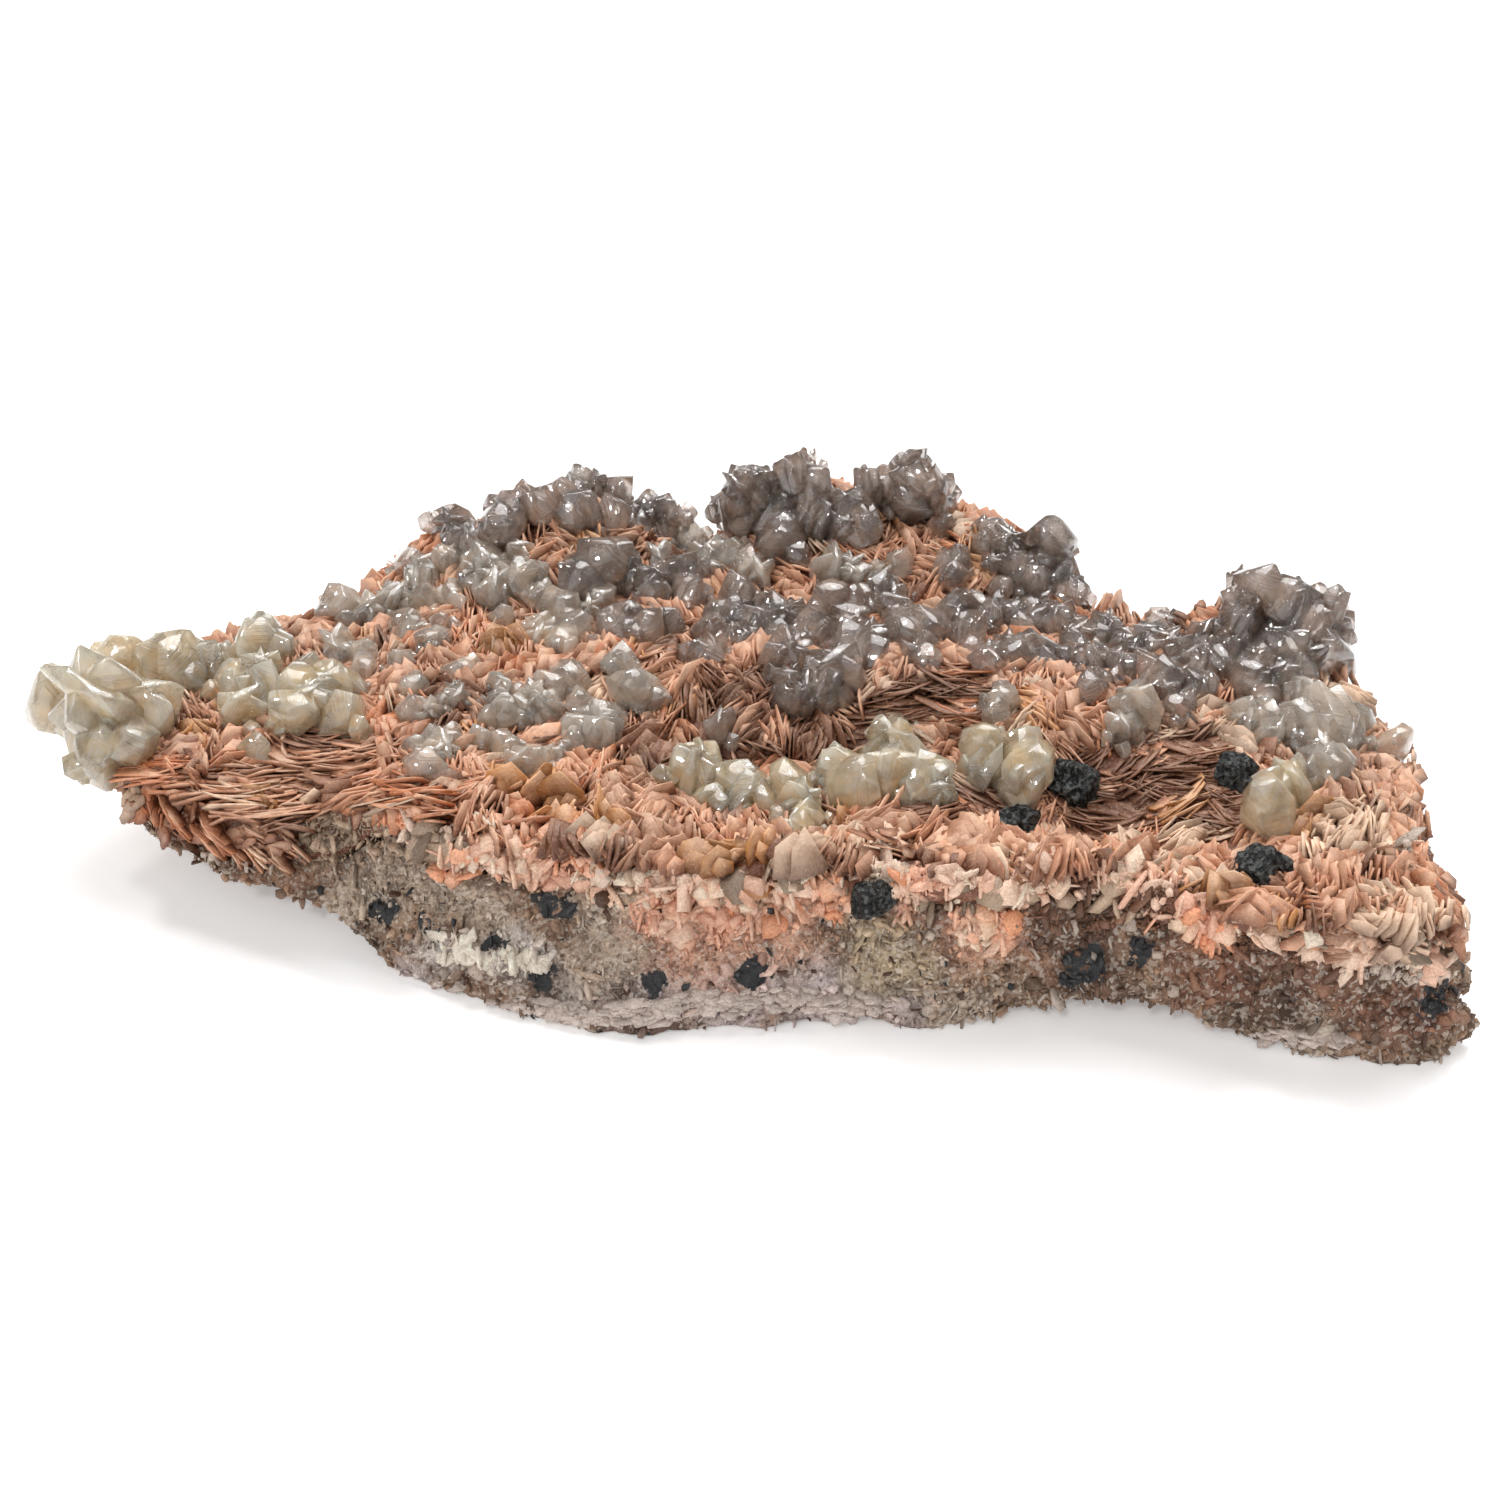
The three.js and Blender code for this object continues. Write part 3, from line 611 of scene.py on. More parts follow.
# Patches of the rock's colour: across and down in the view, spread, tone
ROCK_PATCHES = [
    (335, 838, 4, "galena"), (380, 915, 3.5, "galena"), (435, 930, 3.5, "galena"),
    (550, 905, 4.5, "galena"), (495, 945, 2.5, "galena"), (540, 978, 4, "galena"),
    (755, 972, 3, "galena"), (655, 985, 2.5, "galena"), (1085, 968, 5, "galena"),
    (1135, 955, 3, "galena"), (1440, 990, 5, "galena"), (1395, 935, 2.5, "galena"),
    (445, 950, 6, "white"), (520, 955, 8, "white"), (560, 1000, 7, "white"), (640, 1000, 9, "lilac"),
    (730, 1005, 10, "lilac"), (820, 1003, 9, "lilac"), (900, 1005, 6, "lilac"), (960, 1010, 7, "stone"),
    (420, 975, 5, "lilac"), (700, 925, 13, "salmon"), (790, 915, 9, "salmon"), (640, 910, 9, "salmon"),
    (900, 890, 7, "salmon"), (990, 930, 9, "salmon"), (868, 925, 4, "cream"), (890, 958, 9, "olive"),
    (620, 880, 8, "cream"), (1070, 925, 9, "umber"), (1155, 915, 6, "umber"), (1100, 980, 9, "umber"),
    (1240, 970, 9, "rust"), (1330, 985, 14, "rust"), (1420, 1000, 9, "rust"), (1290, 1035, 9, "stone"),
    (1260, 1000, 10, "umber"), (1380, 960, 9, "umber"), (1200, 985, 9, "rust"), (1272, 935, 4, "umber"),
    (1332, 912, 4, "white"), (545, 990, 6, "umber"), (400, 850, 10, "stone"), (360, 890, 10, "stone"),
    (470, 900, 10, "stone"), (600, 950, 9, "stone"), (650, 1035, 9, "umber"),
]
ROCK_TONES = {
    "galena": shade(52, 52, 54), "white": shade(228, 220, 212), "lilac": shade(218, 202, 200),
    "stone": shade(196, 176, 156), "salmon": shade(232, 178, 150), "cream": shade(230, 208, 182),
    "olive": shade(196, 176, 146), "umber": shade(100, 70, 52), "rust": shade(136, 92, 70),
}


def rock_colours(points, trees, ground):
    """The patchy colour of the rock at each point, in millimetres."""
    colours = np.tile(np.array(ground), (len(points), 1))
    colours *= 1 + wobble(points, 4.6, 0.3)[:, None] + wobble(points, 1.9, 0.22)[:, None]
    warm = ease(-0.2, 0.6, wobble(points + 31, 7.3, 1))[:, None] * 0.5
    colours = colours * (1 - warm) + np.array(ROCK_TONES["rust"]) * warm
    black = np.zeros(len(points))
    for across, down, spread, tone in ROCK_PATCHES:
        centre = spot(across, down, trees)
        distance = np.linalg.norm(points - centre, axis=1)
        uneven = wobble(points, 5.3, spread * 0.35) + wobble(points, 1.7, 1.1)
        share = 1 - ease(spread * 0.4, spread * 1.2, distance + uneven)
        if tone == "galena":
            black = np.maximum(black, share)
        else:
            colours += (np.array(ROCK_TONES[tone]) - colours) * share[:, None] * 0.85
    return colours, black


def wobble(points, size, amount):
    """A smooth unevenness from -amount to amount, over points in millimetres."""
    x, y, z = (points / size).T
    mix = np.sin(x * 1.7 + np.sin(y * 2.3 + 1.1) * 1.4) + np.sin(y * 2.1 + np.sin(z * 1.9 + 0.7) * 1.6)
    return amount * (mix + np.sin(z * 2.7 + np.sin(x * 1.3 + 2.9) * 1.5)) / 3


def rock_finish(rock):
    finish = Finish("Broken rock")
    ground = finish.stored("Tint")
    coarse = finish.noise(260, 6, 0.7)
    speck = finish.cells(1500, "Color")
    speck_value = finish.node("ShaderNodeSeparateColor", {}, {0: speck}, 0)
    fine = finish.noise(2400, 4, 0.7)
    dark = coarse.spread(0.46, 0.6)
    colour = finish.mixed(dark * 0.6, ground, tuple(rock.umber), "MULTIPLY")
    colour = finish.mixed(speck_value.spread(0.55, 0.95) * 0.45, colour, tuple(rock.white))
    colour = finish.mixed(speck_value.spread(0.25, 0.02) * 0.6, colour, tuple(rock.umber))
    colour = finish.mixed(fine.spread(0.3, 0.7) * 0.5, colour, (0.16, 0.12, 0.1), "MULTIPLY")
    black = (finish.stored("Galena", "Fac") * 0.8 + (coarse - 0.5) * 2.6).spread(0.45, 0.6)
    colour = finish.mixed(black, colour, ROCK_TONES["galena"])
    height = fine * 0.5 + finish.cells(900) * 0.8 + coarse
    shader = finish.principled(
        base_color=colour, roughness=black.spread(0, 1, 0.85, 0.4), metallic=black * 0.4,
        normal=finish.bump(height, 0.5))
    return finish.done(shader)


class PLATE_OT_rock(bpy.types.Operator):
    """Breaks the slab's sides into chips and grains and gives it its patchy colour"""

    bl_idname = "plate.rock"
    bl_label = "Rock slab"

    def execute(self, context):
        rock = context.scene.plate.rock
        piece = solid_copy("rock_matrix", "rock_slab")
        remesh(piece, 0.95)
        depth = rock.chip_depth / MM
        roughen(piece, "VORONOI", 9, depth * 1.2, distance_metric="DISTANCE")
        roughen(piece, "VORONOI", 3.4, depth * 0.5)
        roughen(piece, "CLOUDS", 1.6, depth * 0.45, noise_depth=2)
        points = points_of(piece)
        points[:, 2] = np.maximum(points[:, 2], 0.0002)
        set_points(piece, points)
        colours, black = rock_colours(points / MM, trees_of("rock_matrix", "barite_crust"), rock.brown)
        tint(piece, colours)
        mark(piece, black, "Galena")
        only(piece)
        bpy.ops.object.shade_smooth()
        finish_piece(piece, rock_finish(rock), "host_rock", "rock_matrix")
        return {"FINISHED"}


def scattered(piece, count, rng, allowed):
    """Points, in millimetres, spread evenly over the faces that allowed(centres, normals) names."""
    mesh = piece.data
    areas, centres, normals = (np.empty(len(mesh.polygons) * n, np.float32) for n in (1, 3, 3))
    mesh.polygons.foreach_get("area", areas)
    mesh.polygons.foreach_get("center", centres)
    mesh.polygons.foreach_get("normal", normals)
    centres, normals = centres.reshape(-1, 3) / MM, normals.reshape(-1, 3)
    weights = areas * allowed(centres, normals)
    chosen = rng.choice(len(areas), count, p=weights.astype(float) / weights.sum(dtype=float))
    return centres[chosen] + rng.normal(0, 0.3, (count, 3)), normals[chosen]


# The share of the loose chips that are thin flakes, and how flakes and level chips are drawn out
FLAKE_SHARE = 0.65
FLAKE_STRETCH = (1.9, 1.1, 0.3)
LEVEL_STRETCH = (2.0, 1.3, 0.5)
LEAST_HEIGHT = 0.02  # chips are cut off here, just above the floor


def lumps(name, pattern, places, sizes, colours, rng, flat=None):
    """Small chips, each turned its own way, as one mesh with a colour for each; flat ones lie level."""
    count = len(places)
    flat = np.zeros(count, bool) if flat is None else flat
    lean = np.where(flat[:, None], 0.25, 1.6)
    turned = turns(rng.uniform(-1, 1, (count, 2)) * lean, rng.uniform(0, 2 * math.pi, count))
    flakes = rng.uniform(0, 1, (count, 1)) < FLAKE_SHARE
    stretch = rng.uniform(0.5, 1.5, (count, 3)) * np.where(flakes, FLAKE_STRETCH, 1.0)
    stretch = np.where(flat[:, None], rng.uniform(0.5, 1.5, (count, 3)) * LEVEL_STRETCH, stretch)
    shape = pattern.points[None] * (sizes[:, None] * stretch)[:, None]
    placed = np.einsum("nij,nvj->nvi", turned, shape) + places[:, None]
    placed[..., 2] = np.maximum(placed[..., 2], LEAST_HEIGHT)
    piece = copies(name, [(pattern, placed)])
    tint(piece, np.repeat(colours, len(pattern.points), axis=0))
    return piece


def grain_finish(name, roughness, bumps):
    """The finish of small chips, which carry their own colour."""
    finish = Finish(name)
    fine = finish.noise(2200, 3, 0.6)
    colour = finish.mixed(fine.spread(0.3, 0.7) * 0.4, finish.stored("Tint"), (0.3, 0.24, 0.2), "MULTIPLY")
    shader = finish.principled(
        base_color=colour, roughness=fine.spread(0.3, 0.7, *roughness), normal=finish.bump(fine, bumps))
    return finish.done(shader)


class PLATE_OT_rock_grains(bpy.types.Operator):
    """Scatters the loose-looking grains over the broken sides of the rock"""

    bl_idname = "plate.rock_grains"
    bl_label = "Rock grains"

    def execute(self, context):
        rock = context.scene.plate.rock
        rng = np.random.default_rng(rock.seed)
        slab = bpy.data.objects["rock_slab"]

        def broken(centres, normals):
            depth = surface(centres[:, 0], centres[:, 1]) - centres[:, 2]
            return ((normals[:, 2] < 0.75) & (normals[:, 2] > -0.9) & (depth > 3)).astype(float)

        places, normals = scattered(slab, rock.grain_count, rng, broken)
        sizes = np.minimum(0.26 + rng.exponential(0.22, len(places)), 1.3)
        places[:, 2] = np.maximum(places[:, 2], sizes * 1.7 + 0.1)
        colours, black = rock_colours(places, trees_of("rock_matrix", "barite_crust"), rock.brown)
        draw = rng.uniform(0, 1, len(places))[:, None]
        white, umber = np.array(rock.white), np.array(rock.umber)
        whitened, shaded = colours * 0.55 + white * 0.45, colours * rng.uniform(0.45, 1.3, draw.shape)
        colours = np.where(draw < 0.2, whitened, shaded)
        colours = np.where(draw > 0.92, umber, colours)
        dark = np.array(ROCK_TONES["galena"]) * rng.uniform(0.4, 1.6, draw.shape)
        spotted = (black[:, None] > 0.4) & (rng.uniform(0, 1, draw.shape) < 0.75)
        colours = np.clip(np.where(spotted | (draw > 0.97), dark, colours), 0, 0.9)
        pattern = crystal_pattern("chip", 5, 0.8, 3, 29, 0.0)
        material = grain_finish("Rock grains", (0.35, 0.8), 0.15)
        halves = np.array_split(np.argsort(places[:, 0]), 2)
        for side, own in zip(("left", "right"), halves):
            piece = lumps(f"rock_grains_{side}", pattern, places[own], sizes[own], colours[own], rng)
            finish_piece(piece, material, "host_rock")
        return {"FINISHED"}


# Barite


def barite_finish(name, barite):
    """Pearly pink barite, which carries its own colour."""
    finish = Finish(name)
    own = finish.stored("Tint")
    cloud = finish.noise(420, 4, 0.6)
    colour = finish.mixed(cloud.spread(0.35, 0.7) * 0.35, own, tuple(barite.mauve), "MULTIPLY")
    speck = finish.noise(1900, 3, 0.6)
    colour = finish.mixed(speck.spread(0.5, 0.75) * 0.3, colour, tuple(barite.rim))
    height = speck * 0.6 + finish.noise(900, 3, 0.6) * 0.8
    shader = finish.principled(
        base_color=colour, roughness=speck.spread(0.3, 0.7, 0.35, 0.65), normal=finish.bump(height, 0.25))
    return finish.done(shader)


class PLATE_OT_barite_bed(bpy.types.Operator):
    """Roughens the crust that the blades stand on"""

    bl_idname = "plate.barite_bed"
    bl_label = "Barite bed"

    def execute(self, context):
        barite = context.scene.plate.barite
        piece = solid_copy("barite_crust", "barite_bed")
        points = points_of(piece) / MM
        points[:, 2] = np.minimum(points[:, 2], surface(points[:, 0], points[:, 1]) - 0.4)
        set_points(piece, points * MM)
        remesh(piece, 1.25)
        roughen(piece, "VORONOI", 4, 1.4)
        roughen(piece, "CLOUDS", 1.8, 0.9, noise_depth=2)
        points = points_of(piece) / MM
        deep = np.array(shade(104, 60, 40))
        share = ease(-3, 3, wobble(points, 9, 4))[:, None] * 0.6
        tint(piece, deep * (1 - share) + np.array(barite.mauve) * share)
        finish_piece(piece, barite_finish("Barite bed", barite), "barite", "barite_crust")
        return {"FINISHED"}


# How blades grow: heading and its scatter, lean and its scatter, in degrees; least and most length and
# height, and least and most number in a fan; opening in degrees a blade; thickness as a share
STYLES = {
    "rosette": {
        "heading": (90, 62), "lean": (0, 26), "length": (6, 12), "height": (3.6, 6.6), "count": (7, 14),
        "opening": 5.5, "thin": 0.9,
    },
    "shingle": {
        "heading": (0, 16), "lean": (58, 12), "length": (10, 17), "height": (4, 7), "count": (7, 11),
        "opening": 3.5, "thin": 0.9,
    },
    "needles": {
        "heading": (0, 55), "lean": (56, 20), "length": (8, 14), "height": (3, 4.5), "count": (6, 9),
        "opening": 6, "thin": 0.75,
    },
    "plates": {
        "heading": (20, 70), "lean": (10, 30), "length": (6, 10), "height": (6, 9), "count": (3, 6),
        "opening": 12, "thin": 1.1,
    },
}

# Where the blades differ: across and down in the view, spread, style, tone
BLADE_REGIONS = [
    (160, 790, 12, "shingle", "salmon"), (220, 810, 14, "shingle", "pink"),
    (290, 800, 14, "shingle", "pink"), (330, 770, 12, "shingle", "pink"),
    (180, 850, 12, "shingle", "salmon"), (250, 850, 14, "shingle", "salmon"),
    (390, 810, 10, "shingle", "salmon"), (540, 812, 9, "plates", "ochre"),
    (610, 835, 6, "plates", "ochre"), (725, 865, 7, "plates", "ochre"), (782, 868, 6, "plates", "ochre"),
    (500, 650, 6, "plates", "ochre"), (1222, 895, 6, "plates", "ochre"),
    (1290, 835, 5, "plates", "ochre"), (140, 746, 4, "plates", "ochre"),
    (192, 735, 4, "plates", "ochre"), (1160, 800, 17, "needles", "mauve"),
    (1120, 830, 12, "needles", "mauve"), (1190, 750, 10, "needles", "mauve"),
    (950, 800, 11, "needles", "mauve"), (960, 700, 11, "shingle", "mauve"),
    (890, 720, 9, "shingle", "mauve"), (740, 720, 13, "rosette", "mauve"),
    (660, 760, 9, "rosette", "mauve"), (800, 730, 9, "rosette", "mauve"),
    (1235, 735, 9, "rosette", "rim"), (1145, 845, 9, "rosette", "rim"), (1360, 840, 9, "rosette", "rim"),
    (1420, 930, 10, "rosette", "rim"), (860, 850, 7, "rosette", "rim"),
    (380, 720, 10, "rosette", "salmon"), (560, 760, 10, "rosette", "pink"),
    (600, 840, 9, "rosette", "salmon"), (470, 640, 10, "rosette", "salmon"),
    (230, 625, 8, "rosette", "salmon"), (420, 560, 9, "rosette", "salmon"),
]


# The lower edge of the blades along the massive front, in the view
FRONT_LINE = np.array([
    (296, 800), (340, 806), (400, 812), (450, 822), (500, 842), (560, 856), (620, 862), (680, 872),
    (740, 878), (800, 884), (830, 876), (900, 850), (960, 866), (1020, 872), (1070, 872), (1150, 866),
    (1190, 884), (1225, 910), (1260, 928), (1310, 948), (1360, 962), (1410, 978), (1500, 986),
])

# The plate's right edge in the view, past which no blade stands: down, across
RIGHT_LINE = np.array([
    (560, 1345), (640, 1348), (700, 1376), (730, 1408), (790, 1418), (860, 1424), (895, 1464),
    (985, 1482), (1100, 1482),
])

# How far a blade past the right edge is moved back for each pixel, and at most, in millimetres
SHIFT_A_PIXEL = 0.15
MOST_SHIFT = 9

# Where the broken front is massive barite: x from and to, y before, and the share of fans left out
MASSIVE_FRONT = {"from": -62, "to": 118, "before": -20, "left_out": 0.75}

# The right side, whose fans stay short: x past and y behind
SHORT_SIDE = {"past": 104, "behind": -48}

SIDE_SPACING = 3.6  # between the fans round the crust's side, in millimetres
BLADE_FOOT = 0.22  # how far below its middle the disc of a blade is cut off


def blade_pattern(corners):
    """One blade of unit size: a disc cut off flat at its foot, its thin rim set off from its faces."""
    bpy.ops.mesh.primitive_cylinder_add(
        vertices=corners, radius=0.5, depth=1, rotation=(math.pi / 2, 0, 0.0))
    piece = bpy.context.object
    bpy.ops.object.transform_apply(location=True, rotation=True, scale=True)
    bpy.ops.object.mode_set(mode="EDIT")
    bpy.ops.mesh.select_all(action="SELECT")
    bpy.ops.mesh.bisect(plane_co=(0, 0, -BLADE_FOOT), plane_no=(0, 0, 1), use_fill=True, clear_inner=True)
    bpy.ops.mesh.select_all(action="SELECT")
    bpy.ops.mesh.quads_convert_to_tris()
    bpy.ops.object.mode_set(mode="OBJECT")
    pattern = Pattern(piece)
    pattern.points[:, 2] = (pattern.points[:, 2] + BLADE_FOOT) / (0.5 + BLADE_FOOT)
    return pattern


# Massive barite in lumps: across and down in the view, reach across and down, number, tone
LUMP_PATCHES = [
    (470, 838, 45, 14, 70, "pale"), (560, 868, 60, 16, 110, "rose"), (640, 885, 70, 16, 150, "pale"),
    (700, 915, 70, 26, 260, "rose"), (770, 905, 50, 22, 160, "salmon"), (820, 895, 24, 18, 60, "rose"),
    (912, 888, 20, 26, 90, "rose"), (872, 872, 34, 8, 80, "pale"), (838, 900, 10, 24, 60, "salmon"),
    (985, 925, 34, 22, 110, "salmon"), (1010, 890, 30, 16, 70, "pale"), (1060, 865, 34, 10, 60, "rose"),
    (1150, 880, 34, 16, 90, "rose"), (1210, 935, 26, 14, 50, "salmon"), (1350, 950, 50, 16, 120, "rose"),
    (1430, 965, 30, 14, 60, "pale"), (400, 815, 30, 10, 60, "salmon"), (455, 865, 26, 14, 60, "salmon"),
    (322, 850, 30, 14, 160, "stone"), (345, 828, 46, 18, 260, "stone"), (420, 850, 50, 20, 240, "stone"),
    (500, 862, 50, 14, 130, "pale"), (560, 850, 50, 12, 90, "salmon"), (690, 885, 60, 10, 120, "rose"),
    (780, 890, 40, 8, 80, "pale"), (945, 880, 40, 10, 90, "rose"), (1020, 882, 40, 10, 90, "pale"),
    (240, 862, 50, 14, 90, "quartz"), (1415, 830, 16, 26, 50, "quartz"),
    (950, 1010, 46, 14, 90, "quartz"), (510, 962, 40, 12, 90, "chalk"), (455, 950, 24, 12, 50, "chalk"),
    (430, 985, 40, 8, 50, "white"), (520, 1005, 40, 8, 60, "white"), (575, 1016, 36, 10, 90, "white"),
    (640, 1012, 46, 11, 140, "white"), (710, 1002, 46, 11, 140, "white"),
    (780, 996, 46, 10, 130, "white"), (850, 1002, 46, 9, 110, "white"), (1290, 1038, 60, 8, 90, "white"),
    (1100, 1000, 60, 6, 40, "quartz"), (1080, 905, 50, 30, 300, "vug"), (1160, 905, 40, 26, 220, "vug"),
    (1205, 915, 20, 26, 110, "rose"), (1245, 945, 30, 14, 110, "vug"), (1300, 960, 40, 14, 140, "vug"),
    (1340, 950, 40, 12, 120, "rose"), (1400, 970, 40, 10, 120, "quartz"), (1450, 990, 20, 14, 60, "vug"),
    (1120, 870, 40, 8, 80, "rose"),
]


# The colours of the massive barite and of what stands beside it
LUMP_TONES = {
    "rose": shade(240, 184, 156), "pale": shade(246, 218, 196), "salmon": shade(236, 162, 122),
    "quartz": shade(200, 184, 170), "white": shade(212, 196, 186), "chalk": shade(238, 226, 210),
    "stone": shade(190, 164, 140), "vug": shade(136, 98, 76),
}
FINE_TONES = ("quartz", "stone", "vug")  # these come in smaller lumps
UNEVEN_TONES = ("stone", "vug")  # these differ more in brightness
EDGE_TONES = ((1.0, "salmon"), (0.5, "rose"), (0.2, "pale"))  # above which value each comes, else stone
EDGE_LUMPS = 2000  # lumps that follow the bed's edge along the massive front
MOST_WHITE_SIZE = 1.1


class PLATE_OT_barite_lumps(bpy.types.Operator):
    """Crowds knobs of massive barite, quartz and white crust on the plate's broken front"""

    bl_idname = "plate.barite_lumps"
    bl_label = "Massive lumps"

    def execute(self, context):
        barite = context.scene.plate.barite
        rng = np.random.default_rng(barite.seed + 1)
        trees = trees_of("rock_matrix", "barite_crust")
        places, colours, sizes, flat = [], [], [], []

        def add(place, tone, size):
            colour = np.array(LUMP_TONES[tone])
            if tone in ("rose", "pale", "salmon"):
                share = float(ease(-0.5, 0.5, wobble(place[None], 4.4, 1))[0]) * 0.75
                other = LUMP_TONES["rose" if tone == "pale" else "pale"]
                colour = colour * (1 - share) + np.array(other) * share
            places.append(place)
            sizes.append(min(size, MOST_WHITE_SIZE) if tone == "white" else size)
            colours.append(colour * rng.uniform(0.45 if tone in UNEVEN_TONES else 0.85, 1.15))
            flat.append(tone == "white")

        for across, down, wide, high, count, tone in LUMP_PATCHES:
            for _ in range(count):
                turn, out = rng.uniform(0, 2 * math.pi), math.sqrt(rng.uniform())
                right, low = wide * out * math.cos(turn), high * out * math.sin(turn)
                try:
                    place = spot(across + right, down + low, trees)
                except ValueError:
                    continue  # past the outline
                size = min(0.3 + rng.exponential(0.5), 2.4)
                add(place, tone, size * (0.6 if tone in FINE_TONES else 1))

        def front(centres, normals):
            near = (centres[:, 1] < -22) & (abs(centres[:, 0] - 28) < 92)
            return (near & (normals[:, 2] < 0.6)).astype(float)

        edge, outward = scattered(bpy.data.objects["barite_bed"], EDGE_LUMPS, rng, front)
        order = ease(-0.4, 0.4, wobble(edge, 6.5, 1)) + rng.uniform(-0.3, 0.3, len(edge))
        for place, normal, share in zip(edge, outward, order):
            tone = next((name for least, name in EDGE_TONES if share > least), "stone")
            add(place + normal * rng.uniform(-0.2, 1.4), tone, min(0.35 + rng.exponential(0.55), 2.6))
        places, sizes = np.array(places), np.array(sizes)
        places[:, 2] = np.maximum(places[:, 2], sizes * 1.7 + 0.1)
        colours, flat = np.clip(colours, 0, 0.9), np.array(flat)
        pattern = crystal_pattern("knob", 5, 0.75, 3, 41, 0.0)
        material = grain_finish("Massive lumps", (0.35, 0.7), 0.3)
        halves = np.array_split(np.argsort(places[:, 0]), 2)
        for side, own in zip(("left", "right"), halves):
            piece = lumps(
                f"massive_lumps_{side}", pattern, places[own], sizes[own], colours[own], rng, flat[own])
            finish_piece(piece, material, "barite")
        return {"FINISHED"}


Blade = namedtuple("Blade", "place along up length height thin curve tone chance bright")


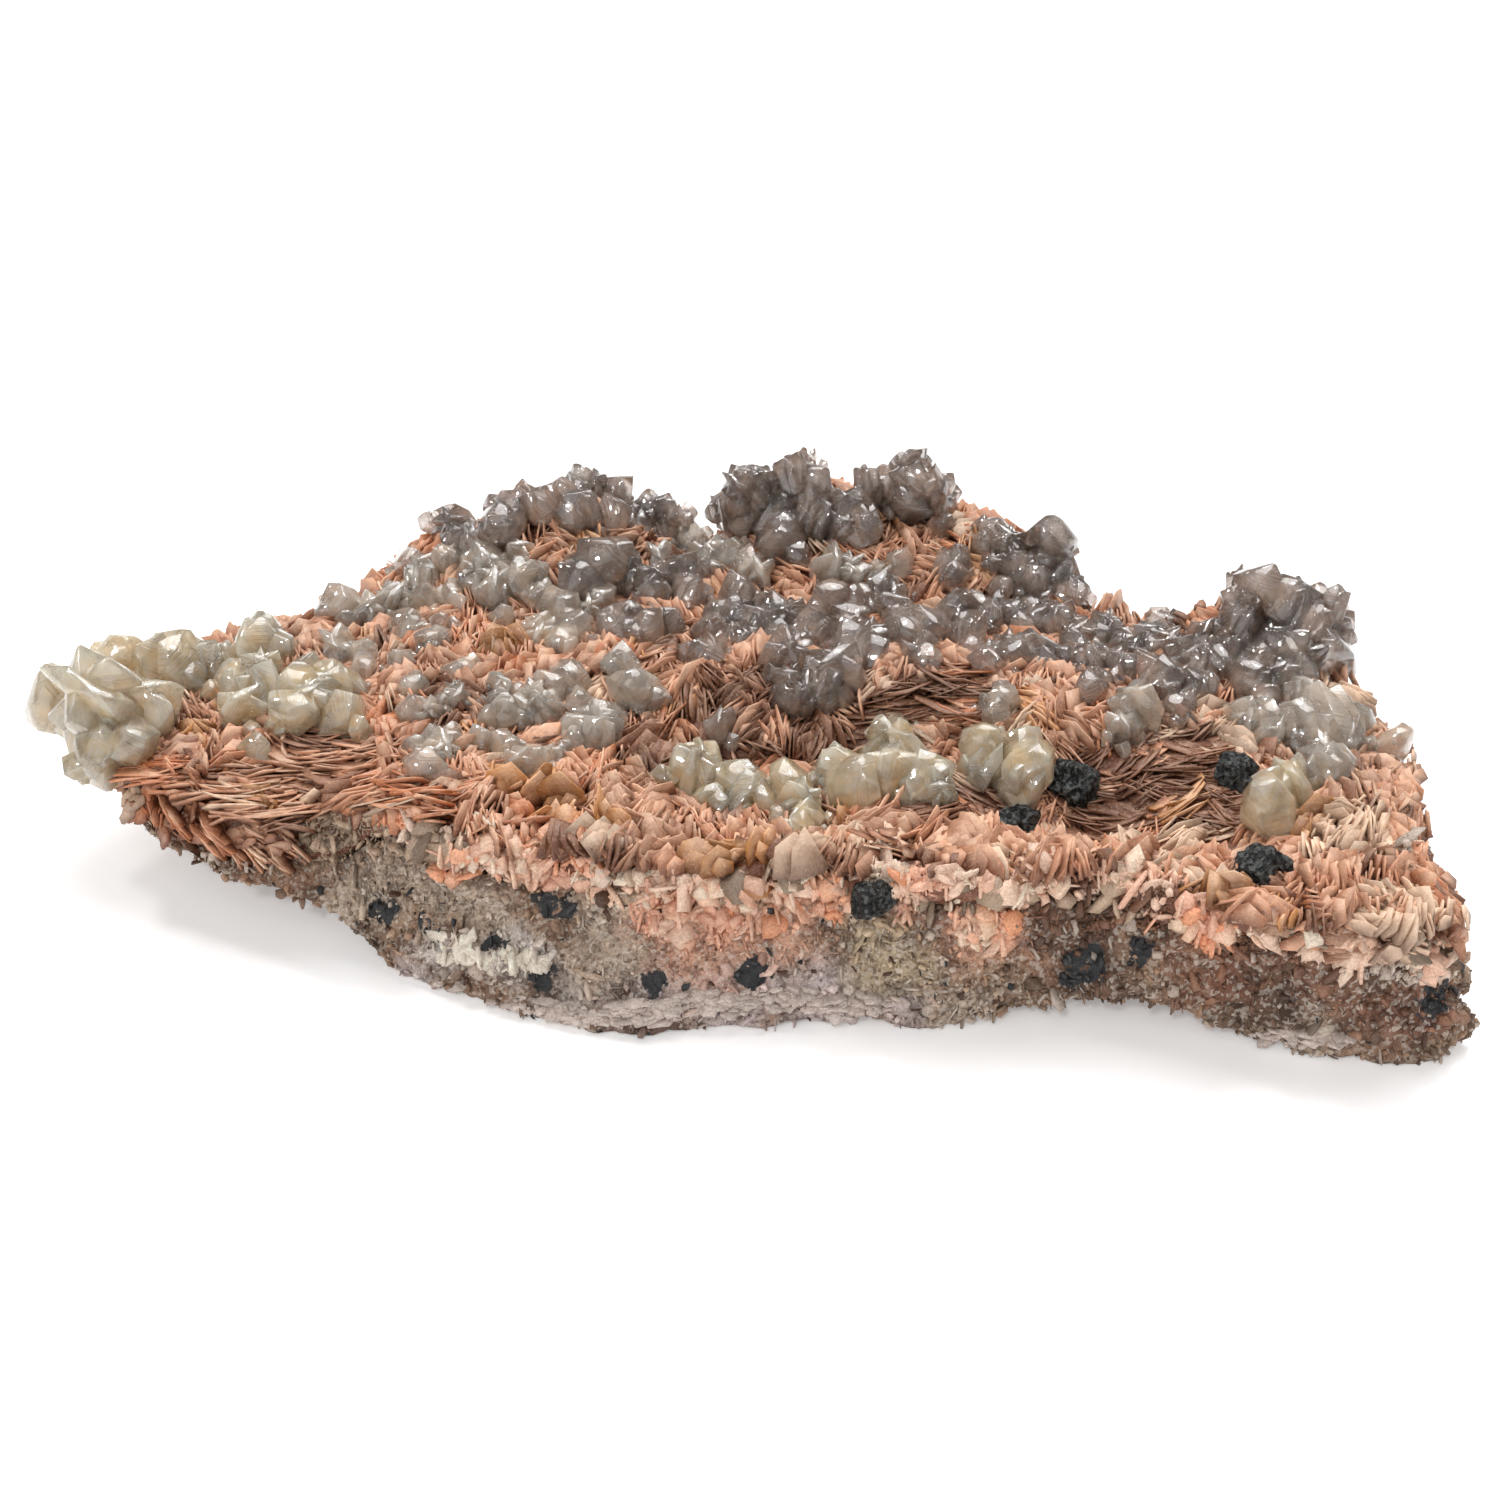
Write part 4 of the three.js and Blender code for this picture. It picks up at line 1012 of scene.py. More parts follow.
class Blades:
    """Rows of blades that wait to be made a mesh."""

    def __init__(self, rng):
        self.rng = rng
        self.rows = []

    def fan(self, place, normal, style, tone, scale=1.0, heading=None):
        """Adds a fan of nearly parallel blades that opens like a book."""
        rng = self.rng
        grow = STYLES[style]
        if heading is None:
            heading = grow["heading"][0] + rng.uniform(-1, 1) * grow["heading"][1]
        turn = math.radians(heading)
        lean = math.radians(grow["lean"][0] + rng.uniform(-1, 1) * grow["lean"][1])
        flat = np.array([math.cos(turn), math.sin(turn), 0.0])
        along = unit(flat - normal * flat.dot(normal))
        across = np.cross(normal, along)
        count = int(rng.integers(grow["count"][0], grow["count"][1] + 1))
        gap = rng.uniform(0.8, 1.15) * grow["thin"]
        curve = rng.uniform(-0.05, 0.05)
        length = rng.uniform(*grow["length"]) * scale
        height = rng.uniform(*grow["height"]) * scale
        bright = rng.uniform(0.6, 1.18)
        for k in np.arange(count) - (count - 1) / 2:
            tilt = -lean + math.radians(grow["opening"]) * -k + rng.normal(0, 0.07)
            up = normal * math.cos(tilt) + across * math.sin(tilt)
            side = np.cross(up, along)
            twist = rng.normal(0, 0.15)
            own_along = unit(along + side * twist + up * rng.normal(0, 0.08))
            fade = 1 - 0.35 * (abs(k) / count * 2) ** 2
            self.rows.append(Blade(
                place + across * k * gap + along * rng.normal(0, 1.5), own_along, up,
                length * rng.uniform(0.6, 1.15) * fade, height * rng.uniform(0.6, 1.18) * fade,
                grow["thin"] * rng.uniform(0.7, 1.3), curve + rng.normal(0, 0.02), tone,
                rng.uniform(), bright))

    def keep_above_front(self):
        """Drops the blades that the view shows below the edge of the massive front."""
        places = np.array([row.place for row in self.rows])
        across, down = seen_at(places)
        line = np.interp(across, *FRONT_LINE.T) + self.rng.normal(0, 5, len(across))
        above = (across < FRONT_LINE[0, 0]) | (down < line) | (places[:, 1] >= 0)
        self.rows = [row for row, kept in zip(self.rows, above) if kept]

    def keep_inside_right(self):
        """Moves the blades that reach past the plate's right edge in the view back over it."""
        past = np.zeros(len(self.rows))
        for share in (-0.5, 0, 0.5):
            ends = [
                row.place + row.up * row.height * 0.9 + row.along * row.length * share
                for row in self.rows
            ]
            across, down = seen_at(np.array(ends))
            past = np.maximum(past, across - np.interp(down, *RIGHT_LINE.T))
        shifts = past * SHIFT_A_PIXEL + self.rng.normal(0, 0.5, len(past))
        shifts = np.clip(shifts, 0, MOST_SHIFT) * (past > 0)
        self.rows = [
            row._replace(place=row.place - (shift, 0, 0)) for row, shift in zip(self.rows, shifts)
        ]

    def keep_clear(self, centres, radii):
        """Drops the blades whose upper part stands in a crystal, and lowers those beside one."""
        places = np.array([row.place + row.up * row.height * 0.55 for row in self.rows])
        nearest = np.full(len(places), 9.0)
        for centre, radius in zip(centres, radii):
            nearest = np.minimum(nearest, np.linalg.norm(places - centre, axis=1) / radius)
        low = 0.6 + 0.4 * ease(0.9, 2.4, nearest)
        self.rows = [
            row._replace(height=row.height * share)
            for row, share, near in zip(self.rows, low, nearest) if near > 0.8
        ]

    def piece(self, name, rows, patterns, thickness, tones):
        """The mesh of some of the rows, with each blade's colour from foot to tip: painted shade at the
        foot, and a paler tip that is partly the blade's pale rim colour and partly a painted highlight.
        """
        rng = self.rng
        batches, colours = [], []
        groups = np.arange(len(rows)) % len(patterns)
        for g, pattern in enumerate(patterns):
            mine = [rows[i] for i in np.flatnonzero(groups == g)]
            place, along, up, length, height, thin, curve, tone, chance, bright = (
                np.array(values) for values in zip(*mine))
            length, height, thin, curve, chance, bright = (
                values[:, None] for values in (length, height, thin, curve, chance, bright))
            along = unit(along - up * (along * up).sum(1, keepdims=True))
            side = np.cross(up, along)
            unitary = pattern.points
            jitter = rng.normal(0, 0.07, (len(mine), len(unitary) // 2 + 1, 2))
            order = corner_order(unitary)
            x = unitary[None, :, 0] + jitter[:, order, 0]
            z = unitary[None, :, 2] * (1 + jitter[:, order, 1])
            y = unitary[None, :, 1] * thickness * thin * (1 - 0.45 * np.clip(z, 0, 1))
            y = y + curve * (x * 2) ** 2 * length + curve * 0.6 * z**2 * height
            x = x * length
            z = z * height - 0.9
            batches.append((pattern, place[:, None] + along[:, None] * x[..., None]
                            + side[:, None] * y[..., None] + up[:, None] * z[..., None]))
            base = np.array([tones[own] for own in tone]) * np.where(tone == "rim", 0.8, 1.0)[:, None]
            base = base * (0.86 + 0.26 * chance) * bright
            # the upper part of each blade turns towards the rim colour: partly the blades' own pale crests,
            # partly a painted highlight where light falls on them
            pale_lit_tip = ease(0.5, 1.0, unitary[:, 2])[None, :, None] * (0.1 + 0.55 * chance[:, :, None])
            pale_lit_tip = pale_lit_tip * np.where(tone == "mauve", 0.35, 1.0)[:, None, None]
            # painted shade: each blade darkens towards its foot, where shade falls between the blades
            foot = ease(0.75, 0.1, unitary[:, 2])[None, :, None] * 0.7
            full = base[:, None] * (1 - pale_lit_tip) + np.array(tones["rim"]) * pale_lit_tip
            full = full * (1 - foot) + np.array(tones["deep"]) * foot
            colours.append(full.reshape(-1, 3))
        piece = copies(name, batches)
        tint(piece, np.concatenate(colours))
        return piece


def corner_order(points):
    """Numbers the outline's corners so that both faces of a blade share them."""
    keys = np.round(points[:, [0, 2]], 4)
    _, order = np.unique(keys, axis=0, return_inverse=True)
    return order.ravel()


def style_at(x, y, regions):
    """The style and tone of the blades at a place of the plan."""
    best, found = 1.0, ("rosette", "pink")
    for centre, spread, style, tone in regions:
        distance = math.hypot(x - centre[0], y - centre[1]) / spread
        if distance < best:
            best, found = distance, (style, tone)
    return found


class PLATE_OT_barite_blades(bpy.types.Operator):
    """Grows fans of thin blades over the top and round the sides of the crust"""

    bl_idname = "plate.barite_blades"
    bl_label = "Barite blades"

    def execute(self, context):
        barite = context.scene.plate.barite
        rng = np.random.default_rng(barite.seed)
        blades = Blades(rng)
        crust = trees_of("barite_crust")[0]
        regions = [(seat_of((row[0], row[1], 1), 0), *row[2:]) for row in BLADE_REGIONS]
        spacing = barite.fan_spacing / MM
        low, high = np.array(CAD_BOX[0]) / MM, np.array(CAD_BOX[1]) / MM
        for row, y in enumerate(np.arange(low[1], high[1], spacing * 0.87)):
            for x in np.arange(low[0] + (row % 2) * spacing / 2, high[0], spacing):
                px, py = x + rng.uniform(-1.6, 1.6), y + rng.uniform(-1.6, 1.6)
                if crust.ray_cast(Vector((px * MM, py * MM, 1)), Vector((0, 0, -1)))[0] is None:
                    continue
                style, tone = style_at(px, py, regions)
                tone = tone_near(tone, rng)
                place = np.array([px, py, surface(px, py)])
                blades.fan(place, surface_normal(px, py), style, tone)
        self.sides(blades, crust, regions, rng)
        blades.keep_above_front()
        blades.keep_inside_right()
        blades.keep_clear(*crystal_balls(context.scene.plate.cerussite))
        blades.keep_clear(*galena_balls())
        patterns = [blade_pattern(5), blade_pattern(6), blade_pattern(7)]
        tones = {key: tuple(getattr(barite, key)) for key in ("pink", "salmon", "ochre", "mauve", "rim")}
        # the dark colour painted as shade at the foot of each blade
        tones["deep"] = shade(88, 46, 28)
        material = barite_finish("Barite blades", barite)
        order = np.argsort([row[0][0] for row in blades.rows])
        parts = np.array_split(order, 3)
        for name, part in zip(("left", "middle", "right"), parts):
            rows = [blades.rows[i] for i in part]
            thickness = barite.blade_thickness / MM
            piece = blades.piece(f"barite_blades_{name}", rows, patterns, thickness, tones)
            finish_piece(piece, material, "barite")
        return {"FINISHED"}

    def sides(self, blades, crust, regions, rng):
        """Fans that point outwards from the crust's edge."""
        rim = np.array(RIM, float)
        steps = np.diff(np.vstack([rim, rim[:1]]), axis=0)
        for (x, y), step in zip(rim, steps):
            for t in np.arange(0, 1, SIDE_SPACING / np.linalg.norm(step)):
                px, py = np.array([x, y]) + step * t
                top = surface(px, py)
                massive = MASSIVE_FRONT["from"] < px < MASSIVE_FRONT["to"] and py < MASSIVE_FRONT["before"]
                if massive and rng.uniform() < MASSIVE_FRONT["left_out"]:
                    continue
                for level in (0.15, 0.5, 0.85):
                    depth = CRUST_THICKNESS + LEFT_LOBE["thicker"] * left_share(px)
                    z = top - depth * (level + rng.uniform(-0.12, 0.12))
                    out = np.array([px - CENTRE[0], py - CENTRE[1], 0.0])
                    start = Vector((*(CENTRE + out[:2] * 1.25), z)) * MM
                    hit, normal, _, _ = crust.ray_cast(start, -Vector(out).normalized(), 0.08)
                    if hit is None:
                        continue
                    style, tone = style_at(px, py, regions)
                    normal = unit(np.array(normal) + unit(out) * 0.8 + np.array([0, 0, 0.5 * (1 - level)]))
                    heading = math.degrees(math.atan2(out[1], out[0])) + rng.uniform(-28, 28)
                    short = px > SHORT_SIDE["past"] and py > SHORT_SIDE["behind"]
                    foot = np.array(hit) / MM - unit(out) * (2.5 if short else 0)
                    blades.fan(foot, normal, style, tone_near(tone, rng), 0.5 if short else 0.72, heading)


def tone_near(tone, rng):
    """The tone itself, or now and then one that grows beside it."""
    draw = rng.uniform()
    if draw < 0.72:
        return tone
    return ("salmon", "pink", "rim", "mauve", "ochre")[int(min(4, (draw - 0.72) / 0.28 * 4.4))]


# Cerussite

FILL_REACH = 62  # pixels of the view between two rows that grow together
BACK_FROM = 40  # crystals behind this y may stand on the crust's back edge


def crystal_pattern(name, sides, waist, cuts, seed, bevel=0.03):
    """A blunt crystal of unit radius: a column with cut corners and softened edges."""
    rng = np.random.default_rng(seed)
    bpy.ops.mesh.primitive_cylinder_add(vertices=sides, radius=1, depth=1.9)
    piece = bpy.context.object
    piece.name = name
    bpy.ops.object.mode_set(mode="EDIT")
    for k in range(cuts):
        turn = (k + rng.uniform(-0.3, 0.3)) * 2 * math.pi / cuts
        rise = rng.uniform(0.35, 0.9) * (1 if k % 3 else -1)
        facing = Vector((math.cos(turn) * math.cos(rise), math.sin(turn) * math.cos(rise), math.sin(rise)))
        bpy.ops.mesh.select_all(action="SELECT")
        bpy.ops.mesh.bisect(
            plane_co=facing * rng.uniform(0.78, 0.93), plane_no=facing, use_fill=True, clear_outer=True)
    for facing in (Vector((0.12, -0.1, 1)), Vector((0, 0, -1))):
        bpy.ops.mesh.select_all(action="SELECT")
        bpy.ops.mesh.bisect(plane_co=facing * waist, plane_no=facing, use_fill=True, clear_outer=True)
    bpy.ops.mesh.select_all(action="SELECT")
    bpy.ops.mesh.remove_doubles(threshold=0.06)
    bpy.ops.mesh.bevel(offset=bevel, offset_pct=0, segments=1, affect="EDGES")
    bpy.ops.mesh.remove_doubles(threshold=0.01)
    bpy.ops.mesh.quads_convert_to_tris()
    bpy.ops.object.mode_set(mode="OBJECT")
    return Pattern(piece)


def joined(first, *others):
    """One pattern of several, their closed shapes growing through each other."""
    points, sizes, corners = [first.points], [first.sizes], [first.corners]
    start = len(first.points)
    for other in others:
        points.append(other.points)
        sizes.append(other.sizes)
        corners.append(other.corners + start)
        start += len(other.points)
    first.points, first.sizes, first.corners = (np.concatenate(a) for a in (points, sizes, corners))
    return first


def twin_pattern(name, seed, angles, wide, thick):
    """Flat blunt crystals grown through each other at the given angles round the upright axis."""
    parts = []
    for k, angle in enumerate(angles):
        part = crystal_pattern(f"{name} {k}", 6, 0.85, 6, seed + k, 0.025)
        c, s = math.cos(math.radians(angle)), math.sin(math.radians(angle))
        flat = part.points * np.array([wide, thick, 1.0 + 0.12 * k])
        part.points = flat @ np.array([[c, s, 0], [-s, c, 0], [0, 0, 1]])
        parts.append(part)
    return joined(*parts)


def turns(tilts, spins):
    """Rotation matrices that spin about the upright axis and then tilt towards x and y."""
    result = []
    for (tilt_x, tilt_y), spin in zip(tilts, spins):
        cx, sx, cy, sy = math.cos(tilt_x), math.sin(tilt_x), math.cos(tilt_y), math.sin(tilt_y)
        cz, sz = math.cos(spin), math.sin(spin)
        lean_x = np.array([[1, 0, 0], [0, cx, -sx], [0, sx, cx]])
        lean_y = np.array([[cy, 0, sy], [0, 1, 0], [-sy, 0, cy]])
        about_z = np.array([[cz, -sz, 0], [sz, cz, 0], [0, 0, 1]])
        result.append(lean_x @ lean_y @ about_z)
    return np.array(result)


def between_rows(rows, rng):
    """Crystals that fill the room between neighbouring rows of a group."""
    places = np.array([row[:2] for row in rows], float)
    added = []
    for row, place in zip(rows, places):
        away = np.linalg.norm(places - place, axis=1)
        near = np.argsort(away)[1:3]
        for other in near[away[near] < FILL_REACH]:
            share = rng.uniform(0.3, 0.7)
            across, down = place + (places[other] - place) * share + rng.uniform(-9, 9, 2)
            lift = ((*row, 0)[3] + (*rows[other], 0)[3]) / 2
            added.append((across, down, row[2] * rng.uniform(0.7, 1.0), max(0, lift - 1)))
    return added


def grown_rows(rows, crust, rng):
    """Centre and radius of each crystal of a group, its supports and the small ones round its foot."""
    grown = []
    for row in [*rows, *between_rows(rows, rng)]:
        radius = row[2]
        seat = seat_on_plate(row, crust)
        lift = seat[2] - surface(seat[0], seat[1]) - radius * 0.45
        grown.append((seat, radius, True))
        below = crust.ray_cast(Vector((seat[0], seat[1], 1000)) * MM, Vector((0, 0, -1)))[0]
        for step in range(1, int(max(lift, 0) / radius) + 1 if below is not None else 1):
            shift = np.array([rng.uniform(-1, 1), rng.uniform(-1, 1), -radius * 0.95 * step])
            grown.append((seat + shift, radius * 1.05, True))
        for _ in range(int(rng.integers(0, 3))):
            turn, small = rng.uniform(0, 2 * math.pi), radius * rng.uniform(0.3, 0.6)
            out = radius * rng.uniform(0.8, 1.25)
            x, y = seat[0] + math.cos(turn) * out, seat[1] + math.sin(turn) * out
            level = surface(x, y) + small * 0.6 + max(lift, 0) * 0.3 if below is not None else seat[2]
            grown.append((np.array([x, y, level]), small, False))
    return grown


def all_grown(cerussite):
    """The crystals of every group, the same each time."""
    crust = trees_of("barite_crust")[0]
    grown = {}
    for k, (name, rows) in enumerate(CERUSSITE.items()):
        rng = np.random.default_rng(cerussite.seed + k)
        grown[name] = grown_rows([*rows, *SMALL_CERUSSITE.get(name, [])], crust, rng)
    return grown


# How far the crystals reach past their listed radii
CRYSTAL_SCALE = {"honey": 1.0, "pale": 1.0, "smoky": 0.94}


def crystal_balls(cerussite):
    grown = [row for rows in all_grown(cerussite).values() for row in rows]
    return np.array([row[0] for row in grown]), np.array([row[1] for row in grown])


# The bright coat that gives cerussite its strong lustre
LUSTRE = {"coat_weight": 0.9, "coat_ior": 1.8, "coat_roughness": 0.04}


# Each kind's milk, the tint of its clear part, its least and most share of milky veils, how much darker its
# tops are, and the colour painted at its edges with its share: a painted reflection on honey and pale,
# painted shade on smoky
CERUSSITE_LOOKS = {
    "honey": {
        "milk": shade(255, 238, 206), "glass": (1.0, 0.97, 0.9), "veiled": (0.3, 0.6), "cap": 0.0,
        "edge": shade(255, 250, 232), "painted_rim_share": 0.8,
    },
    "pale": {
        "milk": shade(255, 238, 218), "glass": (1.0, 0.975, 0.94), "veiled": (0.2, 0.5), "cap": 0.05,
        "edge": shade(255, 246, 234), "painted_rim_share": 0.8,
    },
    "smoky": {
        "milk": shade(250, 226, 206), "glass": (0.985, 0.925, 0.885), "veiled": (0.12, 0.42), "cap": 0.45,
        "edge": shade(112, 84, 72), "painted_rim_share": 0.5,
    },
}


def cerussite_finish(kind, cerussite):
    """Clear, tinted crystal with milky veils, pale twin lines that are partly a painted highlight, tops of
    another tone, and edges painted pale as a reflection on honey and pale crystals and dark as shade on
    smoky ones.
    """
    look = CERUSSITE_LOOKS[kind]
    finish = Finish(f"{kind.title()} cerussite")
    own = finish.stored("Own", "Vector")
    luck = finish.stored("Luck", "Fac")
    bright = finish.stored("Tint")
    across, _, along = (finish.node("ShaderNodeSeparateXYZ", {}, {0: own}, k) for k in range(3))
    twin = across.worked("ABSOLUTE", across) * 0.9 + along + luck * 7
    lined = {"W": twin, "Scale": 12, "Detail": 3}
    lines = finish.node("ShaderNodeTexNoise", {"noise_dimensions": "1D"}, lined, "Fac")
    fine = finish.noise(1300, 3, 0.6)
    ribbed = finish.noise(150, 2, 0.5).spread(0.4, 0.56)
    bump = finish.bump(lines * ribbed * 1.6 + fine * 0.06, 0.3, 0.65)
    rough = fine.spread(0.4, 0.75, 0.03, 0.12)
    clear = finish.principled(
        base_color=finish.mixed(1.0, bright, look["glass"], "MULTIPLY"), roughness=rough,
        ior=cerussite.refraction, transmission_weight=1.0, normal=bump, **LUSTRE)
    cloud = finish.noise(260, 3, 0.5)
    depth = finish.mixed(cloud.spread(0.3, 0.7), look["milk"], tuple(getattr(cerussite, kind)))
    depth = finish.mixed(along.spread(0.3, 0.95) * look["cap"], depth, (0.34, 0.29, 0.3), "MULTIPLY")
    far = finish.node("ShaderNodeVectorMath", {"operation": "LENGTH"}, {0: own}, "Value")
    # painted light at the crystal's edges, away from its middle: a painted reflection on honey and pale,
    # painted shade on smoky
    depth = finish.mixed(far.spread(0.86, 1.12) * look["painted_rim_share"], depth, look["edge"])
    # the twin lines are whitened: partly the crystal's own striations, partly a painted highlight of their
    # silvery glint
    depth = finish.mixed(lines.spread(0.5, 0.62) * ribbed * 0.55, depth, (1.0, 0.98, 0.95))
    depth = finish.mixed(lines.spread(0.46, 0.36) * ribbed * 0.3, depth, (0.62, 0.5, 0.38), "MULTIPLY")
    inner = finish.mixed(1.0, bright, depth, "MULTIPLY")
    milky_face = finish.principled(base_color=inner, roughness=0.2, ior=1.5, normal=bump, **LUSTRE)
    glow = finish.node("ShaderNodeBsdfTranslucent", {}, {"Color": inner})
    body = finish.node("ShaderNodeMixShader", {}, {0: 0.4, 1: milky_face, 2: glow})
    veils = finish.noise(200, 3, 0.5).spread(0.36, 0.64, *look["veiled"])
    shader = finish.node("ShaderNodeMixShader", {}, {0: veils, 1: clear, 2: body})
    return finish.done(shader)


class PLATE_OT_cerussite(bpy.types.Operator):
    """Grows the clusters of cerussite crystals and the small ones round them"""

    bl_idname = "plate.cerussite"
    bl_label = "Cerussite crystals"

    def execute(self, context):
        cerussite = context.scene.plate.cerussite
        large = [
            crystal_pattern("blocky", 6, 0.82, 7, 3), crystal_pattern("stubby", 6, 0.9, 9, 8),
            crystal_pattern("squarish", 4, 0.8, 6, 21), crystal_pattern("rounded", 6, 0.86, 10, 34),
            twin_pattern("trilling", 70, (0, 60, 120), 1.12, 0.5),
            twin_pattern("pair", 80, (-32, 32), 1.2, 0.62),
            twin_pattern("cross", 90, (0, 70), 1.1, 0.6),
        ]
        small = [
            crystal_pattern("grain", 6, 0.85, 5, 13, 0.04), crystal_pattern("chip", 5, 0.8, 4, 17, 0.04),
        ]
        finishes = {kind: cerussite_finish(kind, cerussite) for kind in CERUSSITE_LOOKS}
        nodes = list(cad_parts)
        for k, (group, grown) in enumerate(all_grown(cerussite).items()):
            rng = np.random.default_rng(cerussite.seed * 31 + k)
            piece = self.cluster(group.replace("cerussite_", "") + "_crystals", grown, large, small, rng)
            tone = group.split("_")[1]
            stands_for = [n for n in nodes if n.rstrip("0123456789").rstrip("_") == group]
            finish_piece(piece, finishes[tone], f"cerussite_{tone}", *stands_for)
        return {"FINISHED"}

    def cluster(self, name, grown, large, small, rng):
        """The crystals of one group as one mesh, each with its brightness, own place and luck."""
        batches, tints, owns, lucks = [], [], [], []
        for patterns, big in ((large, True), (small, False)):
            rows = [row for row in grown if row[2] == big]
            kinds = rng.integers(0, len(patterns), len(rows))
            for kind, pattern in enumerate(patterns):
                mine = [row for row, own in zip(rows, kinds) if own == kind]
                if not mine:
                    continue
                count = len(mine)
                centres = np.array([row[0] for row in mine])
                radii = np.array([row[1] for row in mine])[:, None]
                rotate = turns(rng.uniform(-0.7, 0.7, (count, 2)), rng.uniform(0, 2 * math.pi, count))
                ranges = ((0.92, 1.08), (0.8, 1.0), (0.95, 1.22))
                stretch = np.column_stack([rng.uniform(*limits, count) for limits in ranges])
                stretch = radii * CRYSTAL_SCALE[name.split("_")[0]] * stretch
                shape = pattern.points[None] * stretch[:, None]
                batches.append((pattern, np.einsum("nij,nvj->nvi", rotate, shape) + centres[:, None]))
                bright = rng.uniform(0.82, 1.04, (count, 1, 1)) * np.ones((count, len(pattern.points), 3))
                tints.append(bright.reshape(-1, 3))
                owns.append(np.tile(pattern.points, (count, 1)))
                lucks.append(np.repeat(rng.uniform(0, 9, count), len(pattern.points)))
        piece = copies(name, batches)
        tint(piece, np.concatenate(tints))
        place_mark(piece, np.concatenate(owns), "Own")
        mark(piece, np.concatenate(lucks), "Luck")
        return piece


# Galena


def galena_nodes():
    return sorted(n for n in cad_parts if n.startswith("galena_nodule"))


def galena_balls():
    """Centre and radius of each nodule, in millimetres."""
    boxes = [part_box(n) for n in galena_nodes()]
    centres = np.array([(np.array(low) + np.array(high)) / 2 / MM for low, high in boxes])
    radii = np.array([max(high - low) / 2 / MM for low, high in boxes])
    return centres, radii


def galena_finish(galena):
    finish = Finish("Galena")
    grain = finish.cells(1300, "Color")
    level = finish.node("ShaderNodeSeparateColor", {}, {0: grain}, 1)
    cloud = finish.noise(700, 5, 0.65)
    # some grains and clouds are lighter grey and grey-green: partly the galena's own grey, partly painted
    # glints
    colour = finish.mixed(level.spread(0.3, 1.0) * 0.7, (0.018, 0.02, 0.02), tuple(galena.grey))
    colour = finish.mixed(cloud.spread(0.6, 0.75) * 0.6, colour, shade(120, 122, 112))
    height = level * 0.5 + cloud
    rough = level.spread(0, 1, 0.22, 0.6)
    shader = finish.principled(
        base_color=colour, metallic=0.7, roughness=rough, normal=finish.bump(height, 1.2))
    return finish.done(shader)


# The nodule in the pit of the broken front lies deeper and is smaller, in millimetres and as a share
PIT_NODULE = {"node": "galena_nodule_5", "inward": 1.8, "scale": 0.84}
NODULE_SCALE = 0.94


class PLATE_OT_galena(bpy.types.Operator):
    """Gives the galena nodules their granular, dark metallic surface"""

    bl_idname = "plate.galena"
    bl_label = "Galena nodules"

    def execute(self, context):
        material = galena_finish(context.scene.plate.galena)
        for node in galena_nodes():
            low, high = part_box(node)
            middle = (low + high) / 2
            sunk = node == PIT_NODULE["node"]
            if sunk:
                middle.y += PIT_NODULE["inward"] * MM
            bpy.ops.object.select_all(action="DESELECT")
            bpy.ops.mesh.primitive_ico_sphere_add(subdivisions=5, radius=1, location=middle)
            piece = context.object
            piece.name = node.replace("galena_nodule", "galena_lump")
            piece.scale = (high - low) / 2 * (PIT_NODULE["scale"] if sunk else NODULE_SCALE)
            bpy.ops.object.transform_apply(location=True, rotation=True, scale=True)
            roughen(piece, "VORONOI", 5.5, 4.2)
            roughen(piece, "VORONOI", 1.8, 1.2)
            roughen(piece, "CLOUDS", 0.9, 0.6, noise_depth=2)
            finish_piece(piece, material, "galena", node)
        return {"FINISHED"}


# Stage


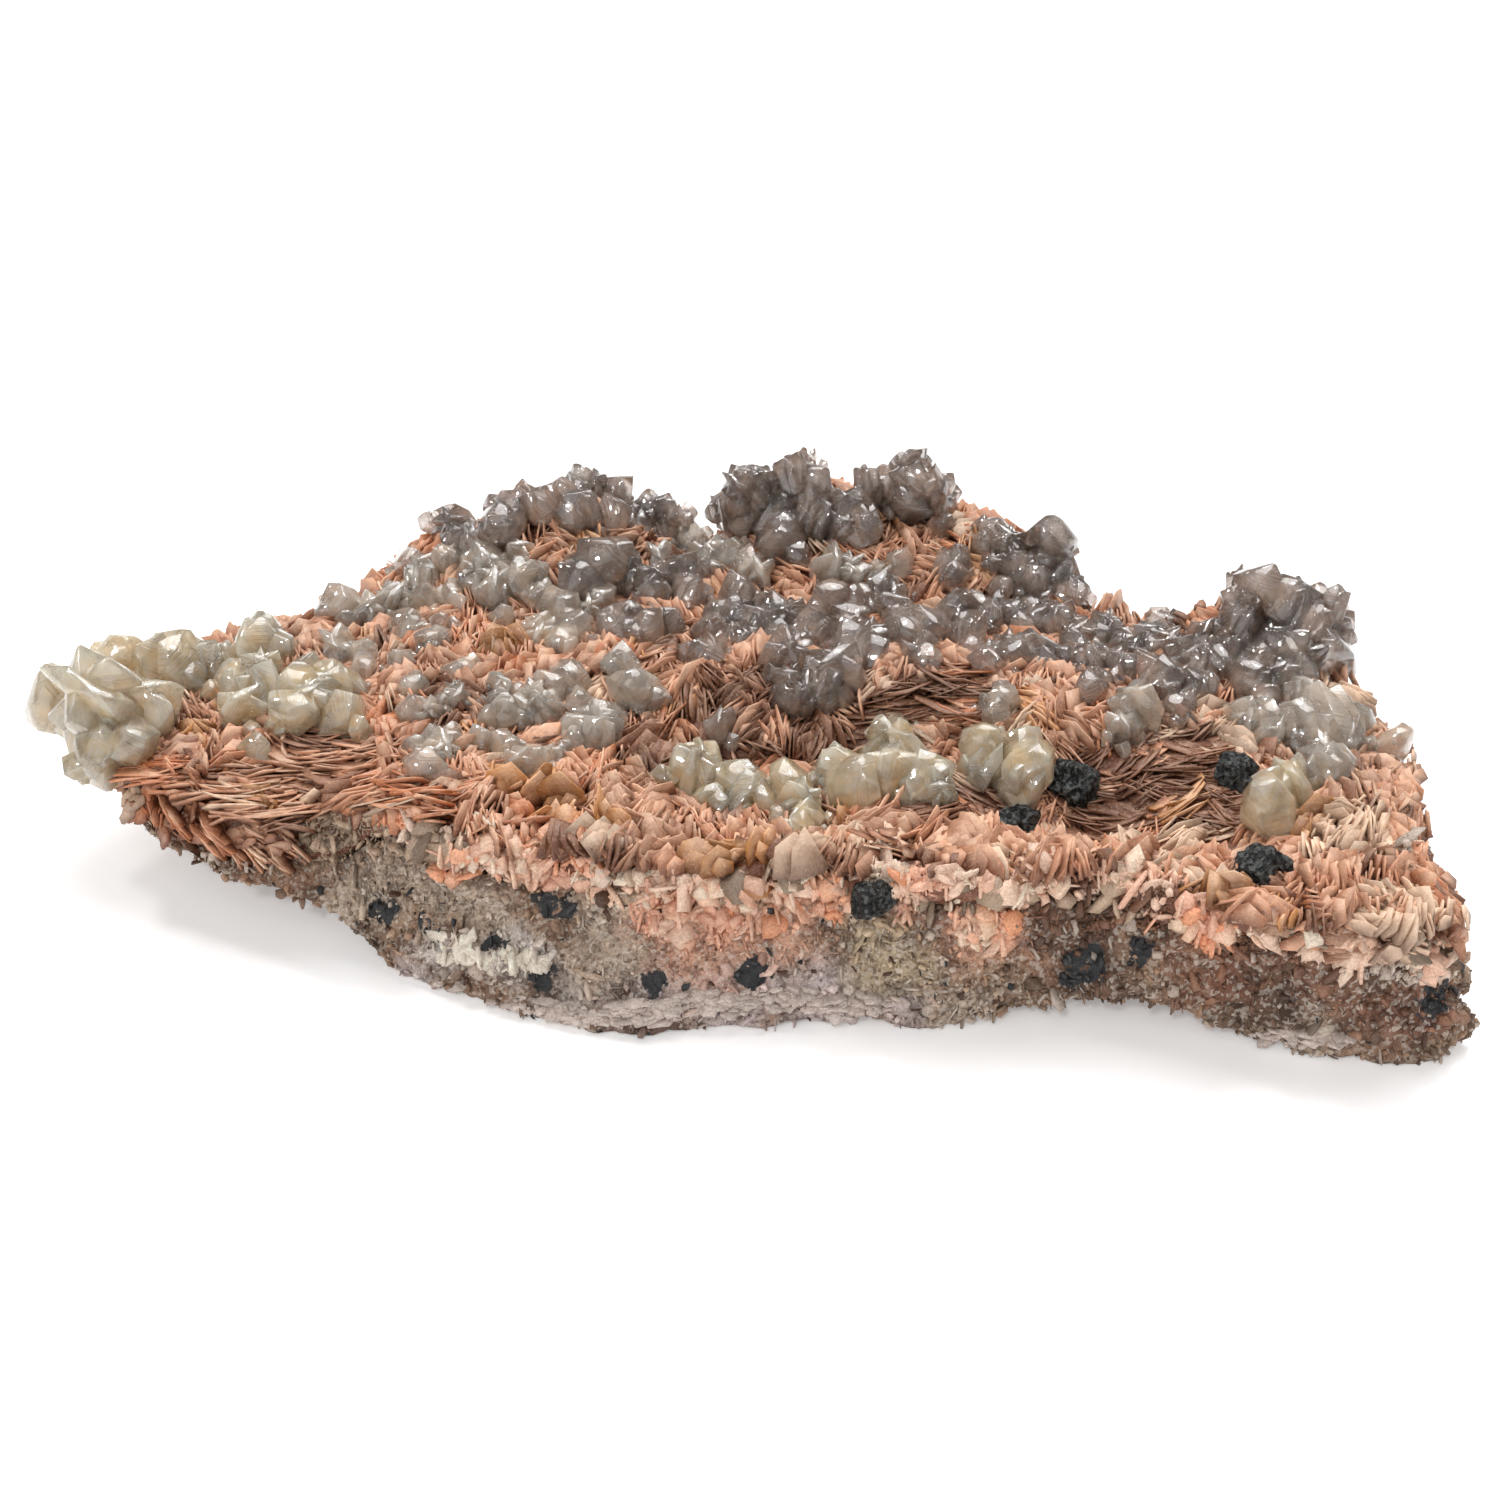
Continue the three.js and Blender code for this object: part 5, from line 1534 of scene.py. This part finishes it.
class PLATE_OT_stage(bpy.types.Operator):
    """Lays the pale floor and sets up the soft light and the camera"""

    bl_idname = "plate.stage"
    bl_label = "Stage"

    def execute(self, context):
        stage = context.scene.plate.stage
        bpy.ops.object.select_all(action="DESELECT")
        bpy.ops.mesh.primitive_plane_add(size=12, location=(0, 0, 0))
        floor = context.object
        floor.name = "floor"
        finish = Finish("Pale floor")
        floor.data.materials.append(finish.done(finish.principled(
            base_color=(*stage.floor_colour, 1), roughness=0.9, specular_ior_level=0.1,
            emission_color=(1, 1, 1, 1), emission_strength=stage.floor_glow)))
        self.light("Key", stage.key_strength, 50, 62, 160)
        self.light("Fill", stage.fill_strength, 70, 38, -25)
        for name, rise, turn in (("Spark", 60, 150), ("Spark left", 48, -128), ("Spark front", 44, -18)):
            self.light(name, stage.spark_strength, 7, rise, turn)
        world = bpy.data.worlds.new("Sky")
        world.use_nodes = True
        background = world.node_tree.nodes["Background"]
        background.inputs["Color"].default_value = (1, 1, 1, 1)
        background.inputs["Strength"].default_value = stage.sky_strength
        context.scene.world = world
        context.scene.view_settings.view_transform = "Standard"
        self.camera(context)
        return {"FINISHED"}

    def light(self, name, strength, width, rise, round_from_front):
        """A sun of some width; its height and its turn from the front are in degrees."""
        turn, lift = math.radians(round_from_front), math.radians(rise)
        level = math.cos(lift)
        towards = Vector((math.sin(turn) * level, -math.cos(turn) * level, math.sin(lift)))
        lamp = bpy.data.lights.new(name, "SUN")
        lamp.energy = strength
        lamp.angle = math.radians(width)
        holder = bpy.data.objects.new(name, lamp)
        holder.rotation_euler = towards.to_track_quat("Z", "Y").to_euler()
        bpy.context.scene.collection.objects.link(holder)

    def camera(self, context):
        eye, way = view_ray(VIEW_PIXELS / 2, VIEW_PIXELS / 2)
        data = bpy.data.cameras.new("View")
        data.angle = math.radians(VIEW_FIELD)
        data.clip_start = 0.01
        holder = bpy.data.objects.new("View", data)
        holder.location = Vector(eye * MM)
        holder.rotation_euler = (-Vector(way)).to_track_quat("Z", "Y").to_euler()
        context.scene.collection.objects.link(holder)
        context.scene.camera = holder


class PLATE_PT_panel(bpy.types.Panel):
    """The plate's settings and the buttons that build it"""

    bl_label = "Plate"
    bl_idname = "PLATE_PT_panel"
    bl_space_type = "VIEW_3D"
    bl_region_type = "UI"
    bl_category = "Plate"

    def draw(self, context):
        plate = context.scene.plate
        for group in (plate.rock, plate.barite, plate.cerussite, plate.galena, plate.stage):
            box = self.layout.box()
            for key in group.__annotations__:
                box.prop(group, key)
        for operator in OPERATORS:
            self.layout.operator(operator.bl_idname)


SETTINGS = (StageSettings, RockSettings, BariteSettings, CerussiteSettings, GalenaSettings, PlateSettings)
OPERATORS = (
    PLATE_OT_stage, PLATE_OT_rock, PLATE_OT_rock_grains, PLATE_OT_barite_bed, PLATE_OT_barite_lumps,
    PLATE_OT_barite_blades, PLATE_OT_cerussite, PLATE_OT_galena,
)


def register():
    for cls in (*SETTINGS, *OPERATORS, PLATE_PT_panel):
        bpy.utils.register_class(cls)
    bpy.types.Scene.plate = PointerProperty(type=PlateSettings)


def unregister():
    del bpy.types.Scene.plate
    for cls in reversed((*SETTINGS, *OPERATORS, PLATE_PT_panel)):
        bpy.utils.unregister_class(cls)


def main():
    register()
    bpy.ops.plate.stage()
    bpy.ops.plate.rock()
    bpy.ops.plate.rock_grains()
    bpy.ops.plate.barite_bed()
    bpy.ops.plate.barite_lumps()
    bpy.ops.plate.barite_blades()
    bpy.ops.plate.cerussite()
    bpy.ops.plate.galena()


if __name__ == "__main__":
    main()
